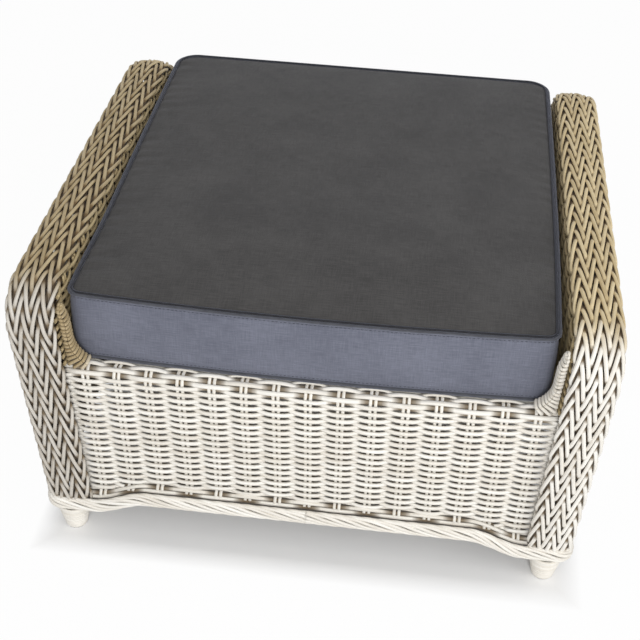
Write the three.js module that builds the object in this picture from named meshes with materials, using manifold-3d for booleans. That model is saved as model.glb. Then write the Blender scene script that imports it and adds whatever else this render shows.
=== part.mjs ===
import * as THREE from "three";
import { mergeVertices } from "three/addons/utils/BufferGeometryUtils.js";
import Module from "manifold-3d";

// An outdoor ottoman of woven plastic wicker over an aluminium tube frame, with a loose box cushion.
// Millimetres. X runs from left to right, Y from front to back, Z up. The origin is on the floor,
// under the middle of the whole. The front faces -Y.

// Driving sizes of the whole object
const cushionWidth = 580;
const cushionDepth = 630;
const cushionHeight = 98;
const seatHeight = 303;
const cushionSideGap = 5.74;
const armRise = 122;
const armWidth = 62.5;
const armCornerRadius = 57;
const armBackRadius = 120;
const armTopFall = 17;
const armReach = 43.12;
const armFlareOut = 12.6;
const armLeanOut = 37.3;

// Fits
const clearance = 0.3;

// Frame tubes
const tubeDiameter = 19;
const tubeWall = 1.6;
const spacerDiameter = 12;
const spacerPlaceShare = 0.6;
const crossTubeCount = 3;
const tubeSides = 10;
const boreSides = 6;
const crossTubeSpreadShare = 0.62;

// Woven skins
const skinThickness = 9;
const lipDepth = 17;
const bandEdgeRadius = 13;
const bandCrown = 2;
const panelInset = 20;
const wrapSides = 12;
const deckThickness = 6;
const gussetReach = 46;
const gussetThickness = 17;
const gussetStand = 7;
const gussetRiseShare = 0.82;

// Rope border along the bottom
const borderBottom = 42;
const borderHeight = 22;
const borderDepth = 11;
const archRise = 22;
const archRunShare = 0.26;

// Feet
const glideDiameter = 28;
const glideThickness = 4;
const spigotLength = 12;
const footTopDiameter = 46;
const footBottomDiameter = 31;
const footRibCount = 7;
const footRibDepth = 1.4;
const footPlateThickness = 4;

// Cushion
const crown = 13;
const frontBow = 6;
const sideBow = 2.5;
const boxingBulge = 4;
const sideBulge = 1;
const cornerPull = 4;
const coverThickness = 2;
const pipingDiameter = 5;

// Zip in the back of the cover
const zipEndMargin = 80;
const zipHeight = 9;
const zipTapeThickness = 1.6;
const zipTeethHeight = 3.6;
const zipTeethProud = 0.8;
const sliderLength = 12;
const sliderHeight = 9;
const sliderThickness = 2.4;
const sliderLugThickness = 1.6;
const sliderPinDiameter = 1.8;
const pullLength = 24;
const pullHeight = 4.6;
const pullThickness = 1.4;
const pullBarrelDiameter = 4.4;

// Worked out from the sizes above
const tubeRadius = tubeDiameter / 2;
const tubeBore = tubeRadius - tubeWall;
const halfArm = armWidth / 2;
const armHeight = seatHeight + armRise;
const armRun = armHeight - borderBottom;
const flareSlope = armFlareOut / armRun;
const leanSlope = armLeanOut / armRun;
const flare = Math.atan(flareSlope);
const lean = Math.atan(leanSlope);
const buttGap = clearance + tubeRadius * (leanSlope + flareSlope);
const hoopInset = skinThickness + clearance + tubeRadius;
const hoopOffset = halfArm - hoopInset;
const wrapRadius = tubeRadius + clearance + skinThickness / 2;
const wrapFlat = wrapRadius * Math.cos(Math.PI / wrapSides);
const panelMiddle = panelInset + skinThickness / 2;
const seatRailInset = panelInset + wrapRadius;
const panelTopDrop = Math.sqrt(skinThickness * (2 * wrapRadius - skinThickness));
const borderTop = borderBottom + borderHeight;
const borderLevel = borderBottom + borderHeight / 2;
const endPanelLevel = borderTop + clearance;
const sidePanelLevel = borderTop + clearance + halfArm * flareSlope;
const railDrop = tubeRadius + clearance;
const borderSway = Math.max(
  (borderHeight / 2) * leanSlope,
  (borderHeight / 2 + archRise) * flareSlope,
);
const borderInset = hoopInset - tubeRadius - clearance - borderSway - borderDepth / 2;
const seatRailLevel = seatHeight - 2 * clearance - wrapRadius;
const deckTop = seatHeight - clearance;
const deckTubeLevel = deckTop - deckThickness - clearance - tubeRadius;
const bandBottom = sidePanelLevel;
const pipingRadius = pipingDiameter / 2;
const coverHalfWidth = cushionWidth / 2 - pipingRadius - clearance;
const coverHalfDepth = cushionDepth / 2 - pipingRadius - clearance;
const cushionMiddle = seatHeight + cushionHeight / 2;
const zipLength = cushionWidth - 2 * zipEndMargin;

// Where the middle of an arm stands from the middle of the seat, at a height
const armCentre = (level) =>
  cushionWidth / 2 + cushionSideGap + halfArm + (level - seatHeight) * flareSlope;

// How far the leaning front or back face stands from the middle, at a height and an inset square to it
const armFace = (level, inset) =>
  cushionDepth / 2 + armReach + (level - seatHeight) * leanSlope - inset / Math.cos(lean);

// The rounded corners of an arm, seen from the side. The top falls from the front corner to the back one.
const topDip = Math.atan(armTopFall / (2 * armFace(armHeight, 0)));
const frontCornerLevel = armHeight - armCornerRadius;
const frontCorner = new THREE.Vector2(-armFace(frontCornerLevel, armCornerRadius), frontCornerLevel);
const backCorner = new THREE.Vector2();
backCorner.y =
  (Math.sin(topDip) * (frontCorner.x - armFace(0, armBackRadius)) +
    Math.cos(topDip) * frontCorner.y +
    armCornerRadius -
    armBackRadius) /
  (Math.cos(topDip) + Math.sin(topDip) * leanSlope);
backCorner.x = armFace(backCorner.y, armBackRadius);

// The height of an arm's sloping top at a place and an inset square to it
const armTop = (place, inset) =>
  frontCorner.y +
  (armCornerRadius - inset + Math.sin(topDip) * (frontCorner.x - place)) / Math.cos(topDip);

// How far the inner sides of the arms stand from the middle, leaving a running gap
const innerArmFace = (level) => armCentre(level) - halfArm - clearance - lipDepth * flareSlope;

// How far a piece between the arms reaches behind the bands, up to the inner hoops
const hoopReach = (level) => armCentre(level) - hoopOffset - tubeRadius - buttGap;

// The bottom edge climbs between the arms, and between the front and back legs of each arm
const endArchRun = innerArmFace(borderTop);
const sideArchRun = armFace(borderTop, hoopInset + tubeRadius) - borderDepth;

// The lift of the bottom edge, from 0 at both ends of a run to the full rise along its middle
function archLift(place, halfRun) {
  const share = THREE.MathUtils.clamp((1 - Math.abs(place) / halfRun) / archRunShare, 0, 1);
  return archRise * share * share * (3 - 2 * share);
}

// Places from one end of a run to the other, closer together where the bottom edge climbs
function archPlaces(halfRun) {
  const shares = [-1, -0.93, -0.87, -0.81, -0.74, 0.74, 0.81, 0.87, 0.93, 1];
  return shares.map((share) => share * halfRun);
}

// The climbing bottom edge moved down, square to itself, as far as what runs along under it needs
function archPath(halfRun, level, drop) {
  return archPlaces(halfRun).map((place) => {
    const share = THREE.MathUtils.clamp((1 - Math.abs(place) / halfRun) / archRunShare, 0, 1);
    const slope = (-Math.sign(place) * 6 * archRise * share * (1 - share)) / (halfRun * archRunShare);
    const tilt = Math.atan(slope);
    const lowered = level + archLift(place, halfRun) - drop * Math.cos(tilt);
    return new THREE.Vector2(place + drop * Math.sin(tilt), lowered);
  });
}

const white = { color: 0xe9e4da, roughness: 0.62, metalness: 0 };
const tan = { color: 0xc9b995, roughness: 0.62, metalness: 0 };
const coatedTube = { color: 0x74706a, roughness: 0.5, metalness: 0.3 };
const black = { color: 0x2a2a2c, roughness: 0.55, metalness: 0 };
const charcoal = { color: 0x505157, roughness: 0.9, metalness: 0 };
const darkPiping = { color: 0x3b3c42, roughness: 0.9, metalness: 0 };
const foamColour = { color: 0xe8e0c4, roughness: 1, metalness: 0 };

function piece(name, geometry, look) {
  const mesh = new THREE.Mesh(geometry, new THREE.MeshStandardMaterial(look));
  mesh.name = name;
  return mesh;
}

const wasm = await Module();
wasm.setup();

function toSolid(geometry) {
  const bare = geometry.clone();
  bare.deleteAttribute("normal");
  bare.deleteAttribute("uv");
  const merged = mergeVertices(bare, clearance / 1000);
  return new wasm.Manifold(
    new wasm.Mesh({
      numProp: 3,
      vertProperties: new Float32Array(merged.attributes.position.array),
      triVerts: new Uint32Array(merged.index.array),
    }),
  );
}

function toGeometry(solid) {
  const mesh = solid.getMesh();
  const geometry = new THREE.BufferGeometry();
  geometry.setAttribute("position", new THREE.BufferAttribute(mesh.vertProperties, 3));
  geometry.setIndex(new THREE.BufferAttribute(mesh.triVerts, 1));
  geometry.computeVertexNormals();
  return geometry;
}

function cut(geometry, ...tools) {
  return toGeometry(tools.reduce((left, tool) => left.subtract(toSolid(tool)), toSolid(geometry)));
}

function join(...geometries) {
  return toGeometry(geometries.map(toSolid).reduce((sum, next) => sum.add(next)));
}

// A run through chosen points. Its section keeps one side square to a fixed direction.
class Route extends THREE.Curve {
  constructor(points, side) {
    super();
    this.points = points;
    this.side = side;
  }

  getSpacedPoints() {
    return this.points.map((point) => point.clone());
  }

  computeFrenetFrames() {
    const tangents = this.points.map((point, i) => {
      const next = this.points[Math.min(i + 1, this.points.length - 1)];
      const last = this.points[Math.max(i - 1, 0)];
      const ahead = next.clone().sub(point).normalize();
      const behind = point.clone().sub(last).normalize();
      return ahead.add(behind).normalize();
    });
    const normals = tangents.map((tangent) =>
      this.side.clone().addScaledVector(tangent, -this.side.dot(tangent)).normalize(),
    );
    const binormals = tangents.map((tangent, i) => tangent.clone().cross(normals[i]));
    return { tangents, normals, binormals };
  }
}

const along = {
  x: new THREE.Vector3(1, 0, 0),
  y: new THREE.Vector3(0, 1, 0),
  z: new THREE.Vector3(0, 0, 1),
};

function sweep(section, points, side) {
  const extrudePath = new Route(points, side);
  return new THREE.ExtrudeGeometry(section, { steps: points.length - 1, extrudePath });
}

function circlePoints(radius, sides) {
  return Array.from({ length: sides }, (_, i) => {
    const angle = ((i + 0.5) * 2 * Math.PI) / sides;
    return new THREE.Vector2(radius * Math.cos(angle), radius * Math.sin(angle));
  });
}

function ringSection(radius, sides, bore, sidesInside) {
  const section = new THREE.Shape(circlePoints(radius, sides));
  section.holes.push(new THREE.Path(circlePoints(bore, sidesInside)));
  return section;
}

function tube(points, side) {
  return sweep(ringSection(tubeRadius, tubeSides, tubeBore, boreSides), points, side);
}

// Puts a shape drawn in X and Y onto the plane of Y and Z, with its thickness centred on X
function standSideways(shape, thickness) {
  const geometry = new THREE.ExtrudeGeometry(shape, { depth: thickness, bevelEnabled: false });
  geometry.translate(0, 0, -thickness / 2);
  return geometry.applyMatrix4(new THREE.Matrix4().makeBasis(along.y, along.z, along.x));
}

// Points round a corner of an arm from one direction to the next, as far as they lie above a height
function cornerPoints(corner, radius, directions, steps, bottom) {
  const [from, to] = directions;
  const points = Array.from({ length: steps + 1 }, (_, i) => {
    const angle = from + (i / steps) * (to - from);
    const y = corner.x + radius * Math.cos(angle);
    return new THREE.Vector3(0, y, corner.y + radius * Math.sin(angle));
  });
  return points.filter((point) => point.z > bottom + clearance);
}

// How far the back of an arm stands from the middle at a height: its leaning face or its corner
function armBack(level, inset) {
  const radius = armBackRadius - inset;
  const climb = level - backCorner.y;
  if (climb < -radius * Math.sin(lean)) return armFace(level, inset);
  return backCorner.x + Math.sqrt(radius * radius - climb * climb);
}

// The line of an arm's side view at an inset: up the front, over the top and down the back
function archPoints(inset, bottom) {
  const overTop = Math.PI / 2 - topDip;
  const front = [Math.PI + lean, overTop];
  const back = [overTop, -lean];
  return [
    new THREE.Vector3(0, -armFace(bottom, inset), bottom),
    ...cornerPoints(frontCorner, armCornerRadius - inset, front, 5, bottom),
    ...cornerPoints(backCorner, armBackRadius - inset, back, 7, bottom),
    new THREE.Vector3(0, armBack(bottom, inset), bottom),
  ];
}

function hoop(offset) {
  const bottom = borderBottom + footPlateThickness + buttGap;
  return tube(archPoints(hoopInset, bottom), along.x).translate(offset, 0, 0);
}

function armSpacer(place) {
  const length = 2 * (hoopOffset - tubeRadius - clearance);
  const geometry = new THREE.CylinderGeometry(spacerDiameter / 2, spacerDiameter / 2, length, 10);
  geometry.rotateZ(Math.PI / 2);
  return geometry.translate(0, place, armTop(place, hoopInset));
}

// The channel of the wide band: crowned outside, with lips that go down both sides of the arm
function bandSection() {
  const section = new THREE.Shape();
  const shoulder = halfArm - bandEdgeRadius;
  const inner = halfArm - skinThickness;
  const edgeCentre = bandCrown + bandEdgeRadius;
  section.moveTo(-halfArm, lipDepth);
  section.lineTo(-halfArm, edgeCentre);
  section.absarc(-shoulder, edgeCentre, bandEdgeRadius, Math.PI, 1.5 * Math.PI, false);
  section.lineTo(0, 0);
  section.lineTo(shoulder, bandCrown);
  section.absarc(shoulder, edgeCentre, bandEdgeRadius, -Math.PI / 2, 0, false);
  section.lineTo(halfArm, lipDepth);
  section.lineTo(inner, lipDepth);
  section.lineTo(inner, skinThickness + bandCrown);
  section.lineTo(inner - bandCrown, skinThickness);
  section.lineTo(bandCrown - inner, skinThickness);
  section.lineTo(-inner, skinThickness + bandCrown);
  section.lineTo(-inner, lipDepth);
  return section.extractPoints(3).shape;
}

function armBand() {
  return sweep(new THREE.Shape(bandSection()), archPoints(0, bandBottom), along.x);
}

// A side skin lies outside the hoops and fills the arch inside the band's lip
function sidePanel(side, level, bottomPoints) {
  const line = archPoints(lipDepth + clearance, level);
  const outline = line.map((point) => new THREE.Vector2(point.y, point.z));
  const whole = new THREE.Shape([...outline, ...bottomPoints.reverse()]);
  const skin = standSideways(whole, skinThickness);
  return skin.translate(side * (halfArm - skinThickness / 2), 0, 0);
}

// The middle of the side border moved up, square to itself, so far that it clears the border's top
const aboveSideBorder = (rise) =>
  archPath(sideArchRun, sidePanelLevel - borderHeight / 2, -borderHeight / 2 - rise);

function outerPanel(side) {
  return sidePanel(side, sidePanelLevel, aboveSideBorder(0));
}

function innerPanel(side) {
  return sidePanel(-side, deckTop + clearance + halfArm * flareSlope, []);
}

// The bottom rail of a side runs behind the outer skin, with its underside at the skin's bottom edge
function sideBottomRail() {
  const level = sidePanelLevel + tubeRadius;
  const halfRun = armFace(level, hoopInset) - tubeRadius - buttGap;
  const ends = [-halfRun, halfRun].map((y) => new THREE.Vector2(y, level));
  const run = [ends[0], ...aboveSideBorder(tubeRadius), ends[1]];
  return tube(run.map((point) => new THREE.Vector3(0, point.x, point.y)), along.x);
}

function buildArm(side, word) {
  const arm = new THREE.Group();
  arm.position.x = side * armCentre(0);
  arm.rotation.y = side * flare;
  const spacerPlace = spacerPlaceShare * armFace(armHeight, armCornerRadius);
  const rail = sideBottomRail().translate(side * hoopOffset, 0, 0);
  arm.add(piece(`${word}_arm_outer_hoop`, hoop(side * hoopOffset), coatedTube));
  arm.add(piece(`${word}_arm_inner_hoop`, hoop(-side * hoopOffset), coatedTube));
  arm.add(piece(`${word}_arm_front_spacer`, armSpacer(-spacerPlace), coatedTube));
  arm.add(piece(`${word}_arm_back_spacer`, armSpacer(spacerPlace), coatedTube));
  arm.add(piece(`${word}_bottom_rail`, rail, coatedTube));
  arm.add(piece(`${word}_arm_band`, armBand(), tan));
  arm.add(piece(`${word}_outer_side_panel`, outerPanel(side), white));
  arm.add(piece(`${word}_inner_side_panel`, innerPanel(side), tan));
  return arm;
}

// Seat frame
function straightTube(axis, halfLength) {
  const ends = [-halfLength, halfLength].map((place) => along[axis].clone().multiplyScalar(place));
  return tube(ends, along.z);
}

const sideSeatRailPlace = armCentre(deckTubeLevel) - hoopOffset;

function seatRail(end) {
  const halfLength = sideSeatRailPlace - tubeRadius - clearance;
  const place = end * armFace(seatRailLevel, seatRailInset);
  return straightTube("x", halfLength).translate(0, place, seatRailLevel);
}

function sideSeatRail(side) {
  const halfLength = armFace(deckTubeLevel, hoopInset) - tubeRadius - buttGap;
  return straightTube("y", halfLength).translate(side * sideSeatRailPlace, 0, deckTubeLevel);
}

function crossTube(index) {
  const spread = crossTubeSpreadShare * cushionDepth;
  const place = (index / (crossTubeCount - 1) - 0.5) * spread;
  const halfLength = sideSeatRailPlace - tubeRadius - clearance;
  return straightTube("x", halfLength).translate(0, place, deckTubeLevel);
}

function endBottomRail(end) {
  const level = endPanelLevel - railDrop;
  const ends = [-hoopReach(level), hoopReach(level)].map((x) => new THREE.Vector2(x, level));
  const run = [ends[0], ...archPath(endArchRun, endPanelLevel, railDrop), ends[1]];
  const points = run.map((point) => new THREE.Vector3(point.x, 0, point.y));
  return tube(points, along.y).translate(0, end * armFace(level, panelMiddle), 0);
}

function seatDeck() {
  const halfWidth = armCentre(seatHeight) - hoopOffset - skinThickness / 2 - buttGap;
  const halfDepth = armFace(seatRailLevel, seatRailInset) - wrapRadius - clearance;
  const deck = new THREE.BoxGeometry(2 * halfWidth, 2 * halfDepth, deckThickness);
  return deck.translate(0, 0, deckTop - deckThickness / 2);
}

// Skins between the arms
function topBorder(end) {
  const halfLength = hoopReach(seatRailLevel - wrapRadius);
  const ends = [-halfLength, halfLength].map((x) => new THREE.Vector3(x, 0, 0));
  const section = ringSection(wrapRadius, wrapSides, tubeRadius + clearance, tubeSides);
  const sleeve = sweep(section, ends, along.z);
  return sleeve.translate(0, end * armFace(seatRailLevel, seatRailInset), seatRailLevel);
}

function endPanel(end) {
  const low = endPanelLevel;
  const high = seatRailLevel - panelTopDrop - wrapRadius * leanSlope - clearance;
  const stretch = 1 / Math.cos(lean);
  const places = [-hoopReach(low), ...archPlaces(endArchRun), hoopReach(low)];
  const outline = places.map((x) => new THREE.Vector2(x, archLift(x, endArchRun) * stretch));
  outline.push(new THREE.Vector2(hoopReach(high), (high - low) * stretch));
  outline.push(new THREE.Vector2(-hoopReach(high), (high - low) * stretch));
  const geometry = new THREE.ExtrudeGeometry(new THREE.Shape(outline), {
    depth: skinThickness,
    bevelEnabled: false,
  });
  geometry.translate(0, 0, -skinThickness / 2);
  geometry.rotateX(Math.PI / 2 - end * lean);
  return geometry.translate(0, end * armFace(low, panelMiddle), low);
}

// A wrapped corner between the seat rail and the inside of an arm: a hollow quarter round, and at the
// front a strip that goes on up the arm
function gusset(side, end) {
  const level = seatRailLevel + wrapFlat + clearance;
  const wall = innerArmFace(level) - clearance;
  const thin = skinThickness / 2;
  const stand = end < 0 ? gussetStand : 0;
  const rise = end < 0 ? armRise * gussetRiseShare : gussetReach;
  const foot = -gussetReach - stand;
  const shape = new THREE.Shape();
  shape.moveTo(0, 0);
  shape.lineTo(foot, 0);
  shape.lineTo(foot, thin);
  shape.absarc(foot, gussetReach, gussetReach - thin, -Math.PI / 2, 0, false);
  shape.lineTo(rise * flareSlope - thin - stand, rise);
  shape.lineTo(rise * flareSlope, rise);
  const outline = shape.extractPoints(6).shape.map((p) => new THREE.Vector2(side * p.x, p.y));
  const geometry = new THREE.ExtrudeGeometry(new THREE.Shape(outline), {
    depth: gussetThickness,
    bevelEnabled: false,
  });
  geometry.translate(0, 0, -gussetThickness / 2);
  geometry.rotateX(Math.PI / 2 - end * lean);
  const place = armFace(level, panelInset + gussetThickness / 2);
  return geometry.translate(side * wall, end * place, level);
}

// Rope border: the front and back runs turn both corners, and the side runs lie between them
const borderAcross = armCentre(borderLevel) + halfArm - borderInset;
const borderFront = armFace(borderLevel, borderInset);
const borderCorner = hoopInset - borderInset;

function borderSection() {
  const half = { x: borderDepth / 2, y: borderHeight / 2 };
  const round = borderDepth / 4;
  return new THREE.Shape([
    new THREE.Vector2(-half.x, half.y - 2 * round),
    new THREE.Vector2(-half.x, 2 * round - half.y),
    new THREE.Vector2(-round, -half.y),
    new THREE.Vector2(round, -half.y),
    new THREE.Vector2(half.x, 2 * round - half.y),
    new THREE.Vector2(half.x, half.y - 2 * round),
    new THREE.Vector2(round, half.y),
    new THREE.Vector2(-round, half.y),
  ]);
}

function endBorder(end) {
  const halfRun = borderAcross - borderCorner;
  const points = archPlaces(endArchRun).map(
    (x) => new THREE.Vector3(x, end * borderFront, borderLevel + archLift(x, endArchRun)),
  );
  const steps = 4;
  for (let i = 0; i <= steps; i += 1) {
    const angle = (i / steps) * (Math.PI / 2);
    const x = halfRun + borderCorner * Math.sin(angle);
    const y = end * (borderFront - borderCorner * (1 - Math.cos(angle)));
    points.push(new THREE.Vector3(x, y, borderLevel));
    points.unshift(new THREE.Vector3(-x, y, borderLevel));
  }
  const tail = end * (borderFront - borderCorner - borderDepth);
  points.push(new THREE.Vector3(borderAcross, tail, borderLevel));
  points.unshift(new THREE.Vector3(-borderAcross, tail, borderLevel));
  return sweepUpright(borderSection(), points);
}

// A sweep whose section keeps its height upright: the normal is level and square to the run
function sweepUpright(section, points) {
  const turned = new THREE.Shape(section.getPoints().map((p) => new THREE.Vector2(p.y, p.x)));
  return sweep(turned, points, along.z);
}

function sideBorder(side) {
  const halfRun = borderFront - borderCorner - borderDepth - clearance;
  const points = [-halfRun, ...archPlaces(sideArchRun), halfRun].map(
    (y) => new THREE.Vector3(side * borderAcross, y, borderLevel + archLift(y, sideArchRun)),
  );
  return sweepUpright(borderSection(), points);
}

// Feet
const footLevel = borderBottom;
const footAcross = armCentre(footLevel);
const footAlong = armFace(footLevel, hoopInset);

function footPost() {
  const outline = new THREE.Shape();
  outline.absarc(hoopOffset, 0, tubeRadius, -Math.PI / 2, Math.PI / 2, false);
  outline.absarc(-hoopOffset, 0, tubeRadius, Math.PI / 2, 1.5 * Math.PI, false);
  const plate = new THREE.ExtrudeGeometry(outline, {
    depth: footPlateThickness,
    bevelEnabled: false,
    curveSegments: 5,
  });
  plate.translate(0, 0, footLevel);
  const bottom = glideThickness + clearance;
  const length = footLevel + footPlateThickness / 2 - bottom;
  const post = new THREE.CylinderGeometry(tubeRadius, tubeRadius, length, 12);
  const bore = new THREE.CylinderGeometry(tubeBore, tubeBore, 2 * spigotLength, 12);
  post.rotateX(Math.PI / 2).translate(0, 0, bottom + length / 2);
  bore.rotateX(Math.PI / 2).translate(0, 0, bottom + spigotLength / 2);
  return cut(join(plate, post), bore);
}

function footSleeve() {
  const bottom = glideThickness + clearance;
  const top = footLevel - clearance;
  const bore = tubeRadius + clearance;
  const profile = [new THREE.Vector2(bore, bottom)];
  for (let i = 0; i < footRibCount; i += 1) {
    for (const [share, depth] of [[0, footRibDepth], [0.5, 0]]) {
      const rise = (i + share) / footRibCount;
      const radius = (footBottomDiameter + (footTopDiameter - footBottomDiameter) * rise) / 2;
      profile.push(new THREE.Vector2(radius - depth, bottom + (top - bottom) * rise));
    }
  }
  profile.push(new THREE.Vector2(footTopDiameter / 2 - footRibDepth, top));
  profile.push(new THREE.Vector2(bore, top));
  profile.push(profile[0].clone());
  return new THREE.LatheGeometry(profile, 12).rotateX(Math.PI / 2);
}

function footGlide() {
  const spigot = tubeBore - clearance;
  const profile = [
    new THREE.Vector2(0, 0),
    new THREE.Vector2(glideDiameter / 2 - clearance, 0),
    new THREE.Vector2(glideDiameter / 2, clearance),
    new THREE.Vector2(glideDiameter / 2, glideThickness),
    new THREE.Vector2(spigot, glideThickness),
    new THREE.Vector2(spigot, glideThickness + spigotLength),
    new THREE.Vector2(0, glideThickness + spigotLength),
  ];
  return new THREE.LatheGeometry(profile, 16).rotateX(Math.PI / 2);
}

function buildFoot(side, end, word) {
  const foot = new THREE.Group();
  foot.position.set(side * footAcross, end * footAlong, 0);
  foot.add(piece(`${word}_foot_post`, footPost(), coatedTube));
  foot.add(piece(`${word}_foot_sleeve`, footSleeve(), white));
  foot.add(piece(`${word}_foot_glide`, footGlide(), black));
  return foot;
}

// Cushion: a box form whose top is crowned, whose boxing swells, and whose front bows forward
function cushionPoint(share, inset) {
  const swell = 1 - share.z * share.z;
  const corner = Math.pow(share.x * share.y, 8) * cornerPull;
  const bow = share.y < 0 ? frontBow * (1 - share.x * share.x) : 0;
  const x = coverHalfWidth - inset + sideBow * (1 - share.y * share.y) + sideBulge * swell - corner;
  const y = coverHalfDepth - inset + bow + boxingBulge * swell - corner;
  const dome = (1 - Math.pow(share.x, 4)) * (1 - Math.pow(share.y, 4));
  const lift = share.z > 0 ? crown * dome * share.z : 0;
  const z = (cushionHeight / 2 - inset) * share.z + lift;
  return new THREE.Vector3(share.x * x, share.y * y, cushionMiddle + z);
}

function cushionForm(inset, across, high) {
  const geometry = new THREE.BoxGeometry(2, 2, 2, across, across, high);
  const position = geometry.attributes.position;
  const share = new THREE.Vector3();
  for (let i = 0; i < position.count; i += 1) {
    share.fromBufferAttribute(position, i);
    const point = cushionPoint(share, inset);
    position.setXYZ(i, point.x, point.y, point.z);
  }
  return geometry;
}

const zipFace = coverHalfDepth + boxingBulge;

function cushionCover() {
  const cavity = cushionForm(coverThickness, 8, 4);
  const slot = new THREE.BoxGeometry(zipLength, 4 * coverThickness, zipHeight);
  slot.translate(0, zipFace, cushionMiddle);
  return cut(cushionForm(0, 10, 4), cavity, slot);
}

// A cord sewn round the cushion, just outside the edge at the top or the bottom of the boxing
class EdgeLoop extends THREE.Curve {
  constructor(high) {
    super();
    this.high = high;
  }

  getPoint(t) {
    const turn = (t * 4) % 4;
    const side = Math.floor(turn);
    const step = 2 * (turn - side) - 1;
    const share = [
      [step, -1],
      [1, step],
      [-step, 1],
      [-1, -step],
    ][side];
    const edge = cushionPoint(new THREE.Vector3(share[0], share[1], this.high), 0);
    const out = pipingRadius + 2 * clearance;
    edge.x += out * Math.sign(share[0]) * (Math.abs(share[0]) === 1 ? 1 : 0);
    edge.y += out * Math.sign(share[1]) * (Math.abs(share[1]) === 1 ? 1 : 0);
    edge.z -= this.high * pipingRadius;
    return edge;
  }

  getPointAt(u) {
    return this.getPoint(u);
  }

  computeFrenetFrames(segments) {
    const points = Array.from({ length: segments + 1 }, (_, i) => this.getPoint((i / segments) % 1));
    const tangents = points.map((_, i) => {
      const next = points[(i + 1) % segments];
      const last = points[(i - 1 + segments) % segments];
      return next.clone().sub(last).normalize();
    });
    const normals = tangents.map(() => along.z.clone());
    const binormals = tangents.map((tangent) => tangent.clone().cross(along.z));
    return { tangents, normals, binormals };
  }
}

function piping(high) {
  return new THREE.TubeGeometry(new EdgeLoop(high), 32, pipingRadius, 6, true);
}

// Zip: a tape with its row of teeth, a slider on the teeth and a pull hinged on the slider
const tapeFace = zipFace - coverThickness / 2 + zipTapeThickness / 2;
const teethFace = tapeFace + zipTeethProud;
const sliderFace = teethFace + clearance + sliderThickness;
const pullAxis = sliderFace + pullBarrelDiameter / 2 + clearance;

function box(width, depth, height, x, y, z) {
  return new THREE.BoxGeometry(width, depth, height).translate(x, y, z);
}

function zipTape() {
  const length = zipLength - 2 * clearance;
  const height = zipHeight - 2 * clearance;
  const tape = box(length, zipTapeThickness, height, 0, tapeFace - zipTapeThickness / 2, cushionMiddle);
  const depth = zipTeethProud + zipTapeThickness / 2;
  const teeth = box(length, depth, zipTeethHeight, 0, teethFace - depth / 2, cushionMiddle);
  return join(tape, teeth);
}

const sliderRest = zipLength / 2 - sliderLength;

function zipSlider() {
  const bodyPlace = sliderFace - sliderThickness / 2;
  const body = box(sliderLength, sliderThickness, sliderHeight, sliderRest, bodyPlace, cushionMiddle);
  const lugPlace = (pullHeight + sliderLugThickness) / 2 + clearance;
  const lugDepth = pullAxis - sliderFace + pullBarrelDiameter / 2 + sliderThickness / 2;
  const lugMiddle = sliderFace - sliderThickness / 2 + lugDepth / 2;
  const lugs = [-1, 1].map((end) => {
    const level = cushionMiddle + end * lugPlace;
    return box(pullBarrelDiameter, lugDepth, sliderLugThickness, sliderRest, lugMiddle, level);
  });
  const radius = sliderPinDiameter / 2;
  const pin = new THREE.CylinderGeometry(radius, radius, 2 * lugPlace, 10);
  pin.rotateX(Math.PI / 2).translate(sliderRest, pullAxis, cushionMiddle);
  return join(body, ...lugs, pin);
}

function zipPull() {
  const outline = new THREE.Shape(circlePoints(pullBarrelDiameter / 2, 12));
  outline.holes.push(new THREE.Path(circlePoints(sliderPinDiameter / 2 + clearance, 12)));
  const barrel = new THREE.ExtrudeGeometry(outline, { depth: pullHeight, bevelEnabled: false });
  barrel.translate(sliderRest, pullAxis, cushionMiddle - pullHeight / 2);
  const start = (sliderPinDiameter / 2 + clearance + pullBarrelDiameter / 2) / 2;
  const middle = sliderRest - start - pullLength / 2;
  const tab = box(pullLength, pullThickness, pullHeight, middle, pullAxis, cushionMiddle);
  return join(barrel, tab);
}

function buildCushion() {
  const cushion = new THREE.Group();
  const inset = coverThickness + 2 * clearance;
  cushion.add(piece("cushion_cover", cushionCover(), charcoal));
  cushion.add(piece("cushion_foam", cushionForm(inset, 8, 4), foamColour));
  cushion.add(piece("cushion_top_piping", piping(1), darkPiping));
  cushion.add(piece("cushion_bottom_piping", piping(-1), darkPiping));
  cushion.add(piece("zip_tape", zipTape(), black));
  cushion.add(piece("zip_slider", zipSlider(), coatedTube));
  cushion.add(piece("zip_pull", zipPull(), coatedTube));
  return cushion;
}

function buildSeat() {
  const seat = new THREE.Group();
  for (const [end, word] of [[-1, "front"], [1, "back"]]) {
    seat.add(piece(`${word}_seat_rail`, seatRail(end), coatedTube));
    seat.add(piece(`${word}_bottom_rail`, endBottomRail(end), coatedTube));
    seat.add(piece(`${word}_top_border`, topBorder(end), white));
    seat.add(piece(`${word}_panel`, endPanel(end), white));
    seat.add(piece(`${word}_bottom_border`, endBorder(end), white));
  }
  for (let i = 0; i < crossTubeCount; i += 1) {
    seat.add(piece(`seat_cross_tube_${i + 1}`, crossTube(i), coatedTube));
  }
  seat.add(piece("seat_deck", seatDeck(), tan));
  return seat;
}

// The front of the arms stands a little further from the middle of the seat than their back
const frontmost = frontCorner.x - armCornerRadius * Math.cos(lean);
const backmost = backCorner.x + armBackRadius * Math.cos(lean);

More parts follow.
